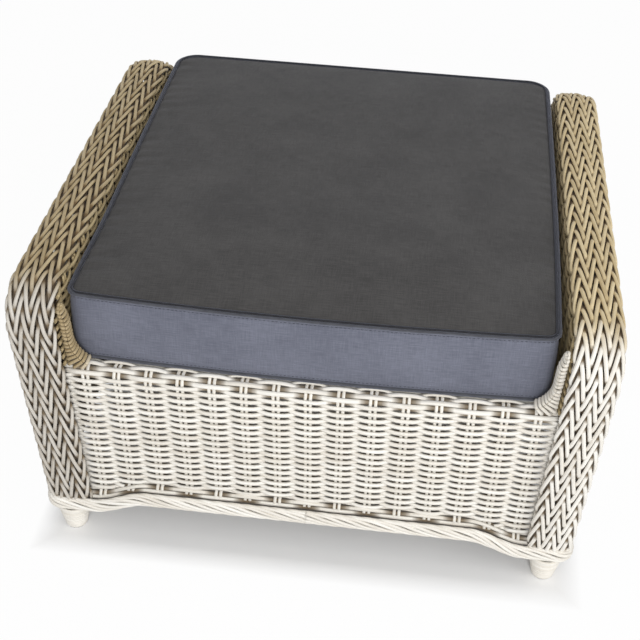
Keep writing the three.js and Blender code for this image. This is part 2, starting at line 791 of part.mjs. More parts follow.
const ottoman = new THREE.Group();
ottoman.position.y = -(frontmost + backmost) / 2;
for (const [side, word] of [[-1, "left"], [1, "right"]]) {
  ottoman.add(buildArm(side, word));
  ottoman.add(piece(`${word}_seat_rail`, sideSeatRail(side), coatedTube));
  ottoman.add(piece(`${word}_bottom_border`, sideBorder(side), white));
  for (const [end, where] of [[-1, "front"], [1, "back"]]) {
    ottoman.add(piece(`${where}_${word}_corner`, gusset(side, end), white));
    ottoman.add(buildFoot(side, end, `${where}_${word}`));
  }
}
ottoman.add(buildSeat());
ottoman.add(buildCushion());

export default ottoman;
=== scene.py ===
import math

import bmesh
import bpy
import numpy as np
from mathutils import Matrix, Vector, noise

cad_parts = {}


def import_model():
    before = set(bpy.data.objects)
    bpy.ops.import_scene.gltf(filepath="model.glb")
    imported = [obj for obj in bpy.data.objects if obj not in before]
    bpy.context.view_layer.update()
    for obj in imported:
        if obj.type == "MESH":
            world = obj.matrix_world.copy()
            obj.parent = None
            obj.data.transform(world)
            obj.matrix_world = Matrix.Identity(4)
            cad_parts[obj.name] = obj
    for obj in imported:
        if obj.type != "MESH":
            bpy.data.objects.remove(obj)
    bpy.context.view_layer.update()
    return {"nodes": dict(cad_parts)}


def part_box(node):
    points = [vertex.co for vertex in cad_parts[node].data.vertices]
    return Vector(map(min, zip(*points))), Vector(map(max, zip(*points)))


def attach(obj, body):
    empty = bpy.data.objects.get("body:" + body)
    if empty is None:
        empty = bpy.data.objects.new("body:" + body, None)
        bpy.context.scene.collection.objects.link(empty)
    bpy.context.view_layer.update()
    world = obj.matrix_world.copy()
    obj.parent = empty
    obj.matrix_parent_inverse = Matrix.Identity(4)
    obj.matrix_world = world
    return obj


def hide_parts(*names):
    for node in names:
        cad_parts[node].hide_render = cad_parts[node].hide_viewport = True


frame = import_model()
nodes = frame["nodes"]

# Sizes in millimetres, the same as the CAD's
CUSHION_WIDTH, CUSHION_DEPTH = 580.0, 630.0
SEAT = 303.0
HALF_ARM = 31.25
ARM_TOP = 425.0
ARM_CORNER, ARM_BACK_CORNER = 57.0, 120.0
ARM_TOP_FALL = 17.0
ARM_REACH = 43.12
SIDE_GAP = 5.74
FLARE, LEAN = 12.6 / 383, 37.3 / 383
FLARE_ANGLE, LEAN_ANGLE = math.atan(FLARE), math.atan(LEAN)
HOOP_OFFSET, HOOP_INSET = 12.45, 18.8
PANEL_MIDDLE = 24.5
FRONT_SWAY = 5.0
RAIL_LEVEL, RAIL_INSET = 288.1, 34.3
BORDER_LEVEL, BORDER_TOP, BORDER_INSET = 53.0, 64.0, 2.42
ARCH_RISE, ARCH_SHARE = 22.0, 0.26
STAKE_PITCH, SIDE_STAKE_PITCH = 39.4, 41.2
STAKE_PAIR = (-3.1, 3.1)
STAKES = np.arange(-7, 8)
ROW_PITCH, ROW_SAMPLES = 5.8, 8
FOOT_TOP, FOOT_BOTTOM = 46.0, 31.0

MILLIMETRE = 0.001
ENDS = ((-1, "front"), (1, "back"))
SIDES = ((-1, "left"), (1, "right"))
rng = np.random.default_rng(11)


def arm_centre(level):
    return CUSHION_WIDTH / 2 + SIDE_GAP + HALF_ARM + (level - SEAT) * FLARE


def arm_face(level, inset):
    return CUSHION_DEPTH / 2 + ARM_REACH + (level - SEAT) * LEAN - inset / math.cos(LEAN_ANGLE)


# The corners of an arm's side view, (place, level, radius), with the top falling from the first to the second
TOP_DIP = math.atan(ARM_TOP_FALL / (2 * arm_face(ARM_TOP, 0)))
FRONT_CORNER = (-arm_face(ARM_TOP - ARM_CORNER, ARM_CORNER), ARM_TOP - ARM_CORNER, ARM_CORNER)


def back_corner():
    dip_up, dip_along = math.cos(TOP_DIP), math.sin(TOP_DIP)
    reach = dip_along * (FRONT_CORNER[0] - arm_face(0, ARM_BACK_CORNER)) + dip_up * FRONT_CORNER[1]
    level = (reach + ARM_CORNER - ARM_BACK_CORNER) / (dip_up + dip_along * LEAN)
    return arm_face(level, ARM_BACK_CORNER), level, ARM_BACK_CORNER


BACK_CORNER = back_corner()
# Everything is laid out from the middle of the seat, and the frame's origin is under the middle of the whole
MIDDLE = -(
    FRONT_CORNER[0] - ARM_CORNER * math.cos(LEAN_ANGLE)
    + BACK_CORNER[0] + ARM_BACK_CORNER * math.cos(LEAN_ANGLE)
) / 2

END_ARCH = arm_centre(BORDER_TOP) - HALF_ARM - 0.86
SIDE_ARCH = arm_face(BORDER_TOP, HOOP_INSET + 9.5) - 11


def smooth(value):
    value = np.clip(value, 0, 1)
    return value * value * (3 - 2 * value)


def arch_lift(place, half_run):
    return ARCH_RISE * smooth((1 - np.abs(place) / half_run) / ARCH_SHARE)


def turn_to_world(vectors, side):
    """Directions in an arm, x across it and z up along its flare, to the shared frame."""
    turn = side * FLARE_ANGLE
    x, y, z = np.moveaxis(vectors, -1, 0)
    across = x * math.cos(turn) + z * math.sin(turn)
    return np.stack([across, y, z * math.cos(turn) - x * math.sin(turn)], -1)


def arm_to_world(points, side):
    return turn_to_world(points, side) + (side * arm_centre(0), 0, 0)


def laid_box(node_name):
    """A solid's lowest and highest corners, in millimetres from the middle of the seat."""
    return [np.array(corner) / MILLIMETRE - (0, MIDDLE, 0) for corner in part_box(node_name)]


def waver(count, length, step, size):
    """Smooth unevenness: count lines of samples over a length, as a sum of a few waves."""
    place = np.arange(length)[None, :] * step
    total = np.zeros((count, length))
    for wave in (310.0, 140.0, 67.0):
        shift = rng.uniform(0, 2 * math.pi, (count, 1))
        total += np.sin(place * 2 * math.pi / wave + shift) * rng.uniform(0.3, 1, (count, 1))
    return total * size / 2


def unit(vectors):
    return vectors / np.linalg.norm(vectors, axis=-1, keepdims=True)


def circle(angles):
    """Points at angles on a circle of radius 1."""
    return np.stack([np.cos(angles), np.sin(angles)], -1)


def run_along(line):
    """How far along a line each of its points lies."""
    return np.concatenate([[0], np.cumsum(np.linalg.norm(np.diff(line, axis=0), axis=1))])


def resampled(columns, step):
    """Columns whose first two are a line's points, taken again at even places along it."""
    place = run_along(columns[:, :2])
    s = np.linspace(0, place[-1], int(place[-1] / step) + 1)
    return s, np.stack([np.interp(s, place, column) for column in columns.T], 1)


def right_normals(line, ends=None):
    """Normals to the right of a line, whose direction at both ends can be given."""
    ahead = np.gradient(line, axis=0)
    if ends:
        ahead[0] = ahead[-1] = ends
    ahead = unit(ahead)
    return np.stack([ahead[:, 1], -ahead[:, 0]], 1)


# Meshes
def faced_mesh(name, points, corners, sizes):
    """A mesh from points in millimetres and the corners of all its faces in a row; quads are smooth."""
    mesh = bpy.data.meshes.new(name)
    mesh.vertices.add(len(points))
    mesh.vertices.foreach_set("co", (points * MILLIMETRE).reshape(-1).astype(np.float32))
    mesh.loops.add(len(corners))
    mesh.loops.foreach_set("vertex_index", corners.astype(np.int32))
    mesh.polygons.add(len(sizes))
    starts = np.concatenate([[0], np.cumsum(sizes)[:-1]])
    mesh.polygons.foreach_set("loop_start", starts.astype(np.int32))
    mesh.polygons.foreach_set("use_smooth", sizes == 4)
    mesh.update(calc_edges=True)
    return mesh


def store_values(mesh, word, kind, domain, values):
    store = mesh.attributes.new(word, kind, domain)
    store.data.foreach_set("vector" if kind == "FLOAT_VECTOR" else "value", values.reshape(-1))


def read_values(items, word, kind=np.int32, width=1):
    """One property of all of a mesh's points, faces or corners."""
    values = np.empty(len(items) * width, kind)
    items.foreach_get(word, values)
    return values


def linked(name, data):
    made = bpy.data.objects.new(name, data)
    bpy.context.scene.collection.objects.link(made)
    return made


def place_piece(name, mesh, material, finish, *stands_for, body="frame"):
    """A visible piece on a body, hiding the solids that it replaces; its finish is not used."""
    piece = linked(name, mesh)
    mesh.materials.append(material)
    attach(piece, body)
    if stands_for:
        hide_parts(*stands_for)
    return piece


class Strands:
    """Round strands: closed tubes that carry where they run, how they vary, how tan they turn and how much
    painted shade they take where they dip.
    """

    def __init__(self):
        self.points = []
        self.faces = []
        self.values = {"grain": [], "tone": [], "tan_and_top_shade": [], "dip_shade": []}
        self.base = 0

    def lay(self, path, out, wide, thick, tone=None, sides=6, tan_and_top_shade=0.0, dip_shade=0.0):
        """Adds a tube along one line of points, or along each of several, with its thickness along out."""
        path = np.asarray(path, float)
        path = path.reshape(-1, *path.shape[-2:])
        count, length, _ = path.shape
        out = np.broadcast_to(np.asarray(out, float), path.shape)
        ahead = unit(np.gradient(path, axis=1))
        across = unit(np.cross(ahead, out))
        lift = np.cross(across, ahead)
        angle = 2 * math.pi * (np.arange(sides) + 0.5) / sides
        per_point = lambda value: np.broadcast_to(np.asarray(value, float), (count, length))[..., None]
        half_wide, half_thick = per_point(wide)[..., None] / 2, per_point(thick)[..., None] / 2
        ring = (
            half_wide * np.cos(angle)[:, None] * across[:, :, None]
            + half_thick * np.sin(angle)[:, None] * lift[:, :, None]
        )
        if tone is None:
            tone = rng.uniform(0, 1, count)
        step = np.linalg.norm(np.diff(path, axis=1), axis=2)
        run = np.concatenate([np.zeros((count, 1)), np.cumsum(step, 1)], 1)
        shape = (count, length, sides)
        grain = [np.broadcast_to(value, shape) for value in (run[..., None], np.cos(angle), np.sin(angle))]
        self.values["grain"].append(np.stack(grain, -1).reshape(-1, 3))
        tone = np.asarray(tone, float).reshape(-1, 1, 1)
        for word, value in (("tone", tone), ("tan_and_top_shade", per_point(tan_and_top_shade)), ("dip_shade", per_point(dip_shade))):
            self.values[word].append(np.broadcast_to(value, shape).reshape(-1))
        index = self.base + np.arange(count * length * sides).reshape(shape)
        turned = np.roll(index, -1, axis=2)
        quads = np.stack([index[:, :-1], index[:, 1:], turned[:, 1:], turned[:, :-1]], -1)
        caps = np.concatenate([index[:, 0], index[:, -1, ::-1]], 0)
        self.base += index.size
        self.points.append((path[:, :, None] + ring).reshape(-1, 3))
        self.faces += [quads.reshape(-1, 4), caps]
        return self

    def build(self, name, material, finish, *stands_for, body="frame"):
        points = np.concatenate(self.points) + (0, MIDDLE, 0)
        corners = np.concatenate([faces.reshape(-1) for faces in self.faces])
        sizes = np.concatenate([np.full(len(faces), faces.shape[1]) for faces in self.faces])
        mesh = faced_mesh(name, points, corners, sizes)
        mesh.validate()
        for word, values in self.values.items():
            kind = "FLOAT_VECTOR" if word == "grain" else "FLOAT"
            store_values(mesh, word, kind, "POINT", np.concatenate(values))
        place_piece(name, mesh, material, finish, *stands_for, body=body)


# Materials
class Nodes:
    """A short way to write node materials: node() gives a new node's outputs, and set() the material."""

    SOCKETS = {
        "colour": "Base Color", "roughness": "Roughness", "metallic": "Metallic",
        "specular": "Specular IOR Level", "sheen": "Sheen Weight",
        "sheen_roughness": "Sheen Roughness", "sheen_tint": "Sheen Tint",
    }

    def __init__(self, holder, shader="BsdfPrincipled", output="OutputMaterial"):
        holder.use_nodes = True
        self.holder = holder
        self.tree = holder.node_tree
        self.tree.nodes.clear()
        self.shader = self.tree.nodes.new("ShaderNode" + shader)
        self.surface = self.tree.nodes.new("ShaderNode" + output).inputs[0]
        self.link(self.shader.outputs[0], self.surface)

    def link(self, source, target):
        if hasattr(source, "is_output"):
            self.tree.links.new(source, target)
        elif target.type == "RGBA":
            target.default_value = (*source, 1.0)
        else:
            target.default_value = source

    def node(self, kind, values, **settings):
        made = self.tree.nodes.new("ShaderNode" + kind)
        for word, value in settings.items():
            setattr(made, word, value)
        for word, value in values.items():
            self.link(value, made.inputs[word])
        return made.outputs

    def attribute(self, word, output="Fac"):
        return self.node("Attribute", {}, attribute_name=word)[output]

    def coordinates(self):
        return self.node("TexCoord", {})["Object"]

    def math(self, kind, *values, clamp=False):
        return self.node("Math", dict(enumerate(values)), operation=kind, use_clamp=clamp)[0]

    def times(self, first, second):
        return self.math("MULTIPLY", first, second)

    def plus(self, first, second, clamp=False):
        return self.math("ADD", first, second, clamp=clamp)

    def combine(self, *values):
        return self.node("CombineXYZ", dict(enumerate(values)))[0]

    def separate(self, vector):
        return self.node("SeparateXYZ", {0: vector})

    def noise(self, vector, scale=1.0, detail=3.0, roughness=0.6):
        values = {"Vector": vector, "Scale": scale, "Detail": detail, "Roughness": roughness}
        return self.node("TexNoise", values)["Fac"]

    def ramp(self, value, low, high, start=0.0, end=1.0):
        values = {"Value": value, "From Min": low, "From Max": high, "To Min": start, "To Max": end}
        return self.node("MapRange", values)[0]

    def mix(self, share, first, second, kind="MIX"):
        values = {0: share, 6: first, 7: second}
        return self.node("Mix", values, data_type="RGBA", blend_type=kind)[2]

    def bump(self, height, strength, distance):
        values = {"Height": height, "Strength": strength, "Distance": distance}
        self.link(self.node("Bump", values)[0], self.shader.inputs["Normal"])

    def seen(self):
        """1 for the rays that show the backdrop as white: the camera's, mirrored ones and through glass."""
        rays = self.node("LightPath", {})
        share = rays["Is Camera Ray"]
        for word in ("Is Glossy Ray", "Is Transmission Ray"):
            share = self.math("MAXIMUM", share, rays[word])
        return share

    def set(self, **values):
        for word, value in values.items():
            self.link(value, self.shader.inputs[self.SOCKETS[word]])
        return self.holder


def wicker(name, pale, shade, tan_tone, tan_tone_dark, dip_shade_colour):
    """Round plastic strand: streaks along it, patches from strand to strand, tan tones where asked, which on
    the arm tops are painted shade, and painted shade where it dips.
    """
    m = Nodes(bpy.data.materials.new(name))
    grain = m.separate(m.attribute("grain", "Vector"))
    tone, tan_and_top_shade, dip_shade = m.attribute("tone"), m.attribute("tan_and_top_shade"), m.attribute("dip_shade")
    offset = m.times(tone, 61.0)

    def strand_noise(along, around, roughness):
        way = m.combine(
            m.math("MULTIPLY_ADD", grain[0], along, offset),
            m.math("MULTIPLY_ADD", grain[1], around, offset),
            m.times(grain[2], around),
        )
        return m.noise(way, roughness=roughness)

    patch = strand_noise(0.011, 0.35, 0.6)
    streak = strand_noise(0.035, 3.2, 0.65)
    share = m.plus(m.ramp(patch, 0.3, 0.72), m.ramp(tone, 0.0, 1.0, -0.25, 0.25), clamp=True)
    share = m.math("MULTIPLY_ADD", m.ramp(streak, 0.42, 0.72), 0.45, m.times(share, 0.6), clamp=True)
    bare = m.mix(share, pale, shade)
    second_tone = m.mix(share, tan_tone, tan_tone_dark)
    # Tan where asked, which on the arm tops is painted shade
    edge = m.plus(tan_and_top_shade, m.ramp(streak, 0.3, 0.7, -0.18, 0.18), clamp=True)
    colour = m.mix(m.ramp(edge, 0.06, 0.94), bare, second_tone)
    # Painted shade where the strand dips under others, darkest in the deepest notches
    colour = m.mix(m.ramp(dip_shade, 0.58, 1.0), colour, dip_shade_colour, "MULTIPLY")
    colour = m.mix(m.ramp(dip_shade, 1.0, 1.35), colour, (0.34, 0.31, 0.28), "MULTIPLY")
    m.bump(streak, 0.25, 0.0004)
    return m.set(
        colour=colour, roughness=m.ramp(streak, 0.3, 0.7, 0.46, 0.66),
        specular=0.42, sheen=0.06, sheen_roughness=0.5,
    )


def speckled(name, fine, broad, pale, dark, patches, roughness, relief, **more):
    """Coat, paint or rubber. fine and broad are noises: scale, detail and roughness."""
    m = Nodes(bpy.data.materials.new(name))
    grains = m.noise(m.coordinates(), *fine)
    colour = m.mix(m.ramp(m.noise(m.coordinates(), *broad), *patches), pale, dark)
    m.bump(grains, *relief)
    return m.set(colour=colour, roughness=m.ramp(grains, 0.3, 0.7, *roughness), **more)


def woven_cloth(name, base, second_tone, boxing, boxing_worn):
    """Plain-weave outdoor cloth: fine threads both ways with slubs, flecks and a soft sheen.
    The boxing takes lighter, bluer colours than the top: painted light on the same cloth."""
    m = Nodes(bpy.data.materials.new(name))
    along, across, away = m.separate(m.attribute("cloth", "Vector"))

    def cloth_noise(first, second, detail=3.0, roughness=0.6):
        way = m.combine(m.times(along, first), m.times(across, second), away)
        return m.noise(way, 1.0, detail, roughness)

    weft = cloth_noise(0.045, 0.95)
    warp = cloth_noise(0.95, 0.045)
    cloud = cloth_noise(0.012, 0.012)
    fleck = cloth_noise(0.35, 0.6, 2.0, 0.5)
    thread_pitch = 0.9
    threads = [m.math("SINE", m.times(way, 2 * math.pi / thread_pitch)) for way in (along, across)]
    grid = m.times(*threads)
    share = m.plus(m.ramp(weft, 0.38, 0.66, 0.0, 0.65), m.ramp(warp, 0.38, 0.66, 0.0, 0.45))
    share = m.plus(share, m.ramp(grid, -1.0, 1.0, -0.12, 0.12))
    share = m.plus(share, m.ramp(cloud, 0.3, 0.7, -0.3, 0.3), clamp=True)
    # Painted light: the boxing gets the lighter, bluer pair of colours
    lit_boxing = m.math("LESS_THAN", away, 3.5 * FACE_STEP)
    colour = m.mix(lit_boxing, m.mix(share, base, second_tone), m.mix(share, boxing, boxing_worn))
    colour = m.mix(m.ramp(fleck, 0.66, 0.76, 0.0, 0.6), colour, (1.6, 1.6, 1.6), "MULTIPLY")
    m.bump(m.plus(m.times(grid, 0.5), m.plus(weft, m.times(warp, 0.7))), 0.35, 0.0005)
    return m.set(
        colour=colour, roughness=m.ramp(share, 0.0, 1.0, 0.86, 0.78), specular=0.25,
        sheen=0.11, sheen_roughness=0.5, sheen_tint=(0.9, 0.92, 1.0),
    )


def piping_cloth(name, base, second_tone, above=None):
    """The same cloth cut on the bias and wrapped round a cord, darkened above with painted shade where that
    is given.
    """
    m = Nodes(bpy.data.materials.new(name))
    run, outward, upward = m.separate(m.attribute("grain", "Vector"))
    along = m.times(run, 1.1)
    slant = m.plus(along, m.times(outward, 2.0))
    cross = m.math("SUBTRACT", along, m.times(upward, 2.0))
    threads = m.times(*(m.math("SINE", m.times(way, 3.4)) for way in (slant, cross)))
    slub = m.noise(m.combine(m.times(run, 0.12), outward, upward))
    share = m.plus(m.ramp(slub, 0.3, 0.7), m.ramp(threads, -1.0, 1.0, -0.2, 0.2), clamp=True)
    m.bump(m.plus(m.times(threads, 0.5), slub), 0.35, 0.0004)
    colour = m.mix(share, base, second_tone)
    if above:
        # Painted shade on the cord's upper side
        colour = m.mix(m.ramp(outward, -0.5, 0.3, 1.0, 0.0), colour, above, "MULTIPLY")
    return m.set(
        colour=colour, roughness=m.ramp(share, 0.0, 1.0, 0.86, 0.76), specular=0.25,
        sheen=0.35, sheen_roughness=0.45, sheen_tint=(0.75, 0.8, 1.0),
    )


# How far apart the faces of the cushion lie in its cloth's noise, so that no two are alike
FACE_STEP = 37.0
# Each wicker's fourth and fifth colours are its tan tones, painted shade on the arm tops; the last is the
# painted shade where strands dip
white_wicker = wicker(
    "whitewashed_wicker", (0.90, 0.88, 0.83), (0.68, 0.63, 0.55),
    (0.83, 0.69, 0.43), (0.47, 0.35, 0.17), (0.22, 0.17, 0.11),
)
brown_wicker = wicker(
    "golden_wicker", (0.46, 0.36, 0.19), (0.24, 0.17, 0.08),
    (0.60, 0.50, 0.30), (0.34, 0.26, 0.14), (0.24, 0.18, 0.12),
)
tube_coat = speckled(
    "powder_coated_tube", fine=(900.0, 2.0, 0.6), broad=(9.0, 3.0, 0.6),
    pale=(0.17, 0.15, 0.13), dark=(0.125, 0.108, 0.092),
    patches=(0.35, 0.7), roughness=(0.48, 0.62), relief=(0.35, 0.0002), specular=0.45,
)
glide_rubber = speckled(
    "glide_rubber", fine=(400.0, 3.0, 0.7), broad=(400.0, 3.0, 0.7),
    pale=(0.44, 0.42, 0.39), dark=(0.34, 0.32, 0.29),
    patches=(0.3, 0.75), roughness=(0.6, 0.8), relief=(0.3, 0.0003),
)
zip_paint = speckled(
    "zip_metal_paint", fine=(1500.0, 3.0, 0.6), broad=(120.0, 3.0, 0.6),
    pale=(0.035, 0.035, 0.04), dark=(0.085, 0.085, 0.09),
    patches=(0.45, 0.75), roughness=(0.3, 0.45), relief=(0.2, 0.0001), metallic=0.6,
)
# The last two colours are the boxing's, lighter and bluer than the top's: painted light
cushion_cloth = woven_cloth(
    "charcoal_cloth", (0.046, 0.044, 0.043), (0.080, 0.077, 0.075),
    (0.115, 0.122, 0.158), (0.180, 0.190, 0.240),
)
# The cord's last colour darkens its upper side: painted shade at the seam above it
cord_cloth = piping_cloth("piping_cloth", (0.095, 0.100, 0.128), (0.150, 0.158, 0.195), (0.55, 0.54, 0.50))
# A near-black cloth for the strand in the top seam: painted shadow
seam_shadow_cloth = piping_cloth("painted_seam_shadow", (0.012, 0.012, 0.014), (0.022, 0.022, 0.026))
thread_dark = piping_cloth("stitching_thread", (0.030, 0.031, 0.036), (0.050, 0.051, 0.058))
zip_cloth = piping_cloth("zip_tape_cloth", (0.022, 0.022, 0.026), (0.042, 0.042, 0.048))
zip_nylon = piping_cloth("zip_coil_nylon", (0.030, 0.030, 0.034), (0.055, 0.055, 0.060))

for words, material in (
    (("hoop", "spacer", "rail", "post", "cross_tube_1", "cross_tube_2", "cross_tube_3"), tube_coat),
    (("glide",), glide_rubber),
    (("zip_slider", "zip_pull"), zip_paint),
):
    for node_name in nodes:
        if node_name.endswith(words):
            nodes[node_name].data.materials.clear()
            nodes[node_name].data.materials.append(material)


# Arm bands: a bias braid of round strands that turn at both edges of the channel, which ends in a bent lip.
# A lay is the run along the arm between two strands. From TAN_FRONT and TAN_BACK up the braid is tan and
# darker, painted shade for its less lit top against the whiter legs.
# The left arm's front takes more painted dip shade than the right's, and beyond EVEN_FROM both arms carry the
# same painted shade.
BAND_TURN = 31.6
BAND_STRANDS = 19
BAND_STEP = 4 * BAND_TURN / BAND_STRANDS
BAND_COLUMN = 1.5 * BAND_STEP
BAND_MIDDLE, BAND_BOTTOM = 4.5, 57.0
BAND_SAMPLE = 4.2
BAND_LIFT = 2.05
LEG_RUN, LEG_FADE = 330, 60
LEG_LAY, TOP_LAY = 33.5, 42.0
LIP_FLAT, LIP_BEND, LIP_DEPTH = HALF_ARM - 13.0, 8.5, 15
TAN_FRONT, TAN_BACK, TAN_WAVER, TAN_FADE = 342, 262, 14, 75
EVEN_FROM, EVEN_FADE = 900, 200
EVEN_SHADE, EVEN_SLOPE = 0.78, 0.52


def arm_line(inset, bottom, step):
    """The arm's side view at an inset: places along it, points (y, z) and outward normals."""
    foot = np.array([arm_face(bottom, inset), bottom])
    start, over, end = math.pi + LEAN_ANGLE, math.pi / 2 - TOP_DIP, -LEAN_ANGLE
    line, normal = [[foot * [-1, 1]]], [[circle(start)]]
    for (place, level, radius), first, last in ((FRONT_CORNER, start, over), (BACK_CORNER, over, end)):
        turn = circle(np.linspace(first, last, 70))
        line.append((place, level) + (radius - inset) * turn)
        normal.append(turn)
    line.append([foot])
    normal.append([circle(end)])
    s, columns = resampled(np.hstack([np.concatenate(line), np.concatenate(normal)]), step)
    return s, columns[:, :2], unit(columns[:, 2:])


def channel(u):
    """The band's middle surface across its channel: place across, depth and outward normal."""
    away = np.abs(u)
    bend = np.clip((away - LIP_FLAT) / LIP_BEND, 0, math.pi / 2)
    x = np.minimum(away, LIP_FLAT) + LIP_BEND * np.sin(bend)
    crown = 1 - np.cos(math.pi * np.minimum(away, LIP_FLAT) / LIP_FLAT)
    depth = np.where(away < LIP_FLAT, BAND_MIDDLE + crown, LIP_DEPTH - LIP_BEND * np.cos(bend))
    return np.sign(u) * x, depth, np.sign(u) * np.sin(bend), -np.cos(bend)


def softened(rows, step, run):
    """Rows of values, each blurred along itself."""
    reach = np.arange(-4, 5)
    kernel = np.exp(-0.5 * (reach * step / run) ** 2)
    kernel /= kernel.sum()
    return np.stack([np.convolve(np.pad(row, 4, "edge"), kernel, "valid") for row in rows])


def braid(side, tips, wide, shade, slope):
    s, line, normal = arm_line(BAND_MIDDLE, BAND_BOTTOM, BAND_SAMPLE)
    end = s[-1]
    high = smooth((np.minimum(s, end - s) - LEG_RUN) / LEG_FADE)
    pace = 1 / (LEG_LAY + (TOP_LAY - LEG_LAY) * high)
    phase = np.concatenate([[0], np.cumsum((pace[1:] + pace[:-1]) / 2 * np.diff(s))]) * BAND_STEP
    strand = np.arange(BAND_STRANDS)[:, None]
    travel = (phase[None] + strand * BAND_STEP) % (4 * BAND_TURN)
    rising = travel < 2 * BAND_TURN
    u = np.where(rising, travel - BAND_TURN, 3 * BAND_TURN - travel)
    column = np.floor((u - tips) / BAND_COLUMN) % 2
    over = np.where(column == 0, 1.0, -1.0) * np.where(rising, 1.0, -1.0)
    height = softened(over, BAND_SAMPLE, 5.0)
    u = u + waver(*u.shape, BAND_SAMPLE, 0.35)
    lift = BAND_LIFT * height
    x, depth, nx, nd = channel(u)
    back = depth + lift * nd - BAND_MIDDLE
    y = line[:, 0] - back * normal[:, 0]
    z = line[:, 1] - back * normal[:, 1]
    path = arm_to_world(np.stack([x + lift * nx, y, z], -1), side)
    out = np.stack([nx, -nd * normal[:, 0], -nd * normal[:, 1]], -1)
    # Tan and darker up the top: painted shade where less light falls
    tan_from = np.minimum(s - TAN_FRONT, end - s - TAN_BACK)
    tan_and_top_shade = smooth((tan_from + waver(*u.shape, BAND_SAMPLE, TAN_WAVER)) / TAN_FADE)
    # Painted dip shade, higher on the left arm's front and the same on both arms towards the back
    far = smooth((s - EVEN_FROM) / EVEN_FADE)
    shade = shade + (EVEN_SHADE - shade) * far
    slope = slope + (EVEN_SLOPE - slope) * far
    return Strands().lay(
        path, turn_to_world(out, side), wide, 4.0, rng.uniform(-0.4, 1.4, BAND_STRANDS),
        sides=8, tan_and_top_shade=tan_and_top_shade, dip_shade=shade - slope * height,
    )


# Per side: tips, strand width, and the level and slope of the painted dip shade, higher on the left
for side, word, tips, wide, shade, slope in (
    (-1, "left", 0.5 * BAND_STEP, 4.9, 1.08, 0.34),
    (1, "right", 1.5 * BAND_STEP, 5.2, EVEN_SHADE, EVEN_SLOPE),
):
    band = braid(side, tips, wide, shade, slope)
    band.build(f"{word}_arm_braid", white_wicker, "wicker_tan", f"{word}_arm_band")


# Flat skins: rows woven over and under pairs of stakes
def over_under(place, pitch, start):
    wave = np.cos(math.pi * place / pitch + math.pi * start)
    return 1.5 * wave - 0.5 * wave**3


def lay_rows(strands, surface, levels, reach, pitch, amp, tall, thick, tan_and_top_shade=0.0, first=0):
    """One strand for each row. surface turns (along, up, out) into points and outward vectors."""
    for number, level in enumerate(levels):
        for low, high in reach(level):
            step = pitch / ROW_SAMPLES
            length = max(int((high - low) / step), 3)
            place = np.linspace(low, high, length)
            wave = over_under(place, pitch, number + first)
            sway = waver(1, length, step, 0.22)[0]
            points, out = surface(place, level + sway, amp * wave)
            # Painted shade where the row dips under a pair of stakes
            strands.lay(points, out, tall, thick, tan_and_top_shade=tan_and_top_shade, dip_shade=0.5 - 0.5 * wave)


def lay_stakes(strands, surface, places, reach, wide, thick, tan_and_top_shade=0.0, tones=None):
    """A pair of strands at each place, from the lower to the upper level of its reach."""
    step = 6.0
    for number, place in enumerate(places):
        low, high = reach(place)
        length = max(int((high - low) / step), 3)
        for rod, off in enumerate(STAKE_PAIR):
            up = np.linspace(low, high, length)
            along = place + off + waver(1, length, step, 0.3)[0]
            points, out = surface(along, up, np.zeros(length))
            tone = None if tones is None else tones[2 * number + rod]
            strands.lay(points, out, wide, thick, tone=tone, tan_and_top_shade=tan_and_top_shade, dip_shade=0.35)


PROFILE_BOTTOM = 58.0
ROLL_START = 272.0
ROLL_RADIUS = 11.6


def end_profile():
    """Side view of a front or back skin: up the leaning plane, then over the seat rail."""
    centre = arm_face(RAIL_LEVEL, RAIL_INSET)
    levels = np.arange(PROFILE_BOTTOM, ROLL_START - 1, 3.0)
    plane = np.stack([arm_face(levels, PANEL_MIDDLE), levels], 1)
    roll = (centre, RAIL_LEVEL) + ROLL_RADIUS * circle(np.radians(np.arange(-4, 204, 6)))
    line = np.concatenate([plane, roll])
    return run_along(line) + PROFILE_BOTTOM, np.hstack([line, right_normals(line)])


PROFILE = end_profile()
ROLL_END = PROFILE[0][-1]


def hoop_span(level):
    reach = arm_centre(level) - HOOP_OFFSET - 11.0
    return -reach, reach


def end_surface(end):
    def surface(along, up, out):
        along, up, out = np.broadcast_arrays(along, up, out)
        q, z, nq, nz = (np.interp(up, PROFILE[0], column) for column in PROFILE[1].T)
        if end < 0:
            q = q + FRONT_SWAY * (1 - (along / 300) ** 2) * smooth((up - 130) / 140)
        points = np.stack([along, end * (q + out * nq), z + out * nz], -1)
        return points, np.stack([np.zeros_like(nq), end * nq, nz], -1)

    return surface


def arch_reach(half_run, span):
    """The stretches of a row that lie above the arched border."""

    def reach(level):
        low, high = span(level)
        need = level - 2.2 - BORDER_TOP
        if need >= ARCH_RISE:
            return [(low, high)]
        places = np.linspace(0, high, 400)
        clear = places[arch_lift(places, half_run) < need]
        if not len(clear) or high - clear[0] < 8:
            return []
        return [(low, -clear[0]), (clear[0], high)]

    return reach


def arch_bottom(place, half_run):
    return BORDER_TOP - 4 + float(arch_lift(place, half_run))


# The last rows: their angle round the bottom rail in degrees, distance from its middle and wave
LAST_ROWS = ((78, 12.2, 2.6), (50, 11.8, 2.0), (22, 11.0, 0.8))


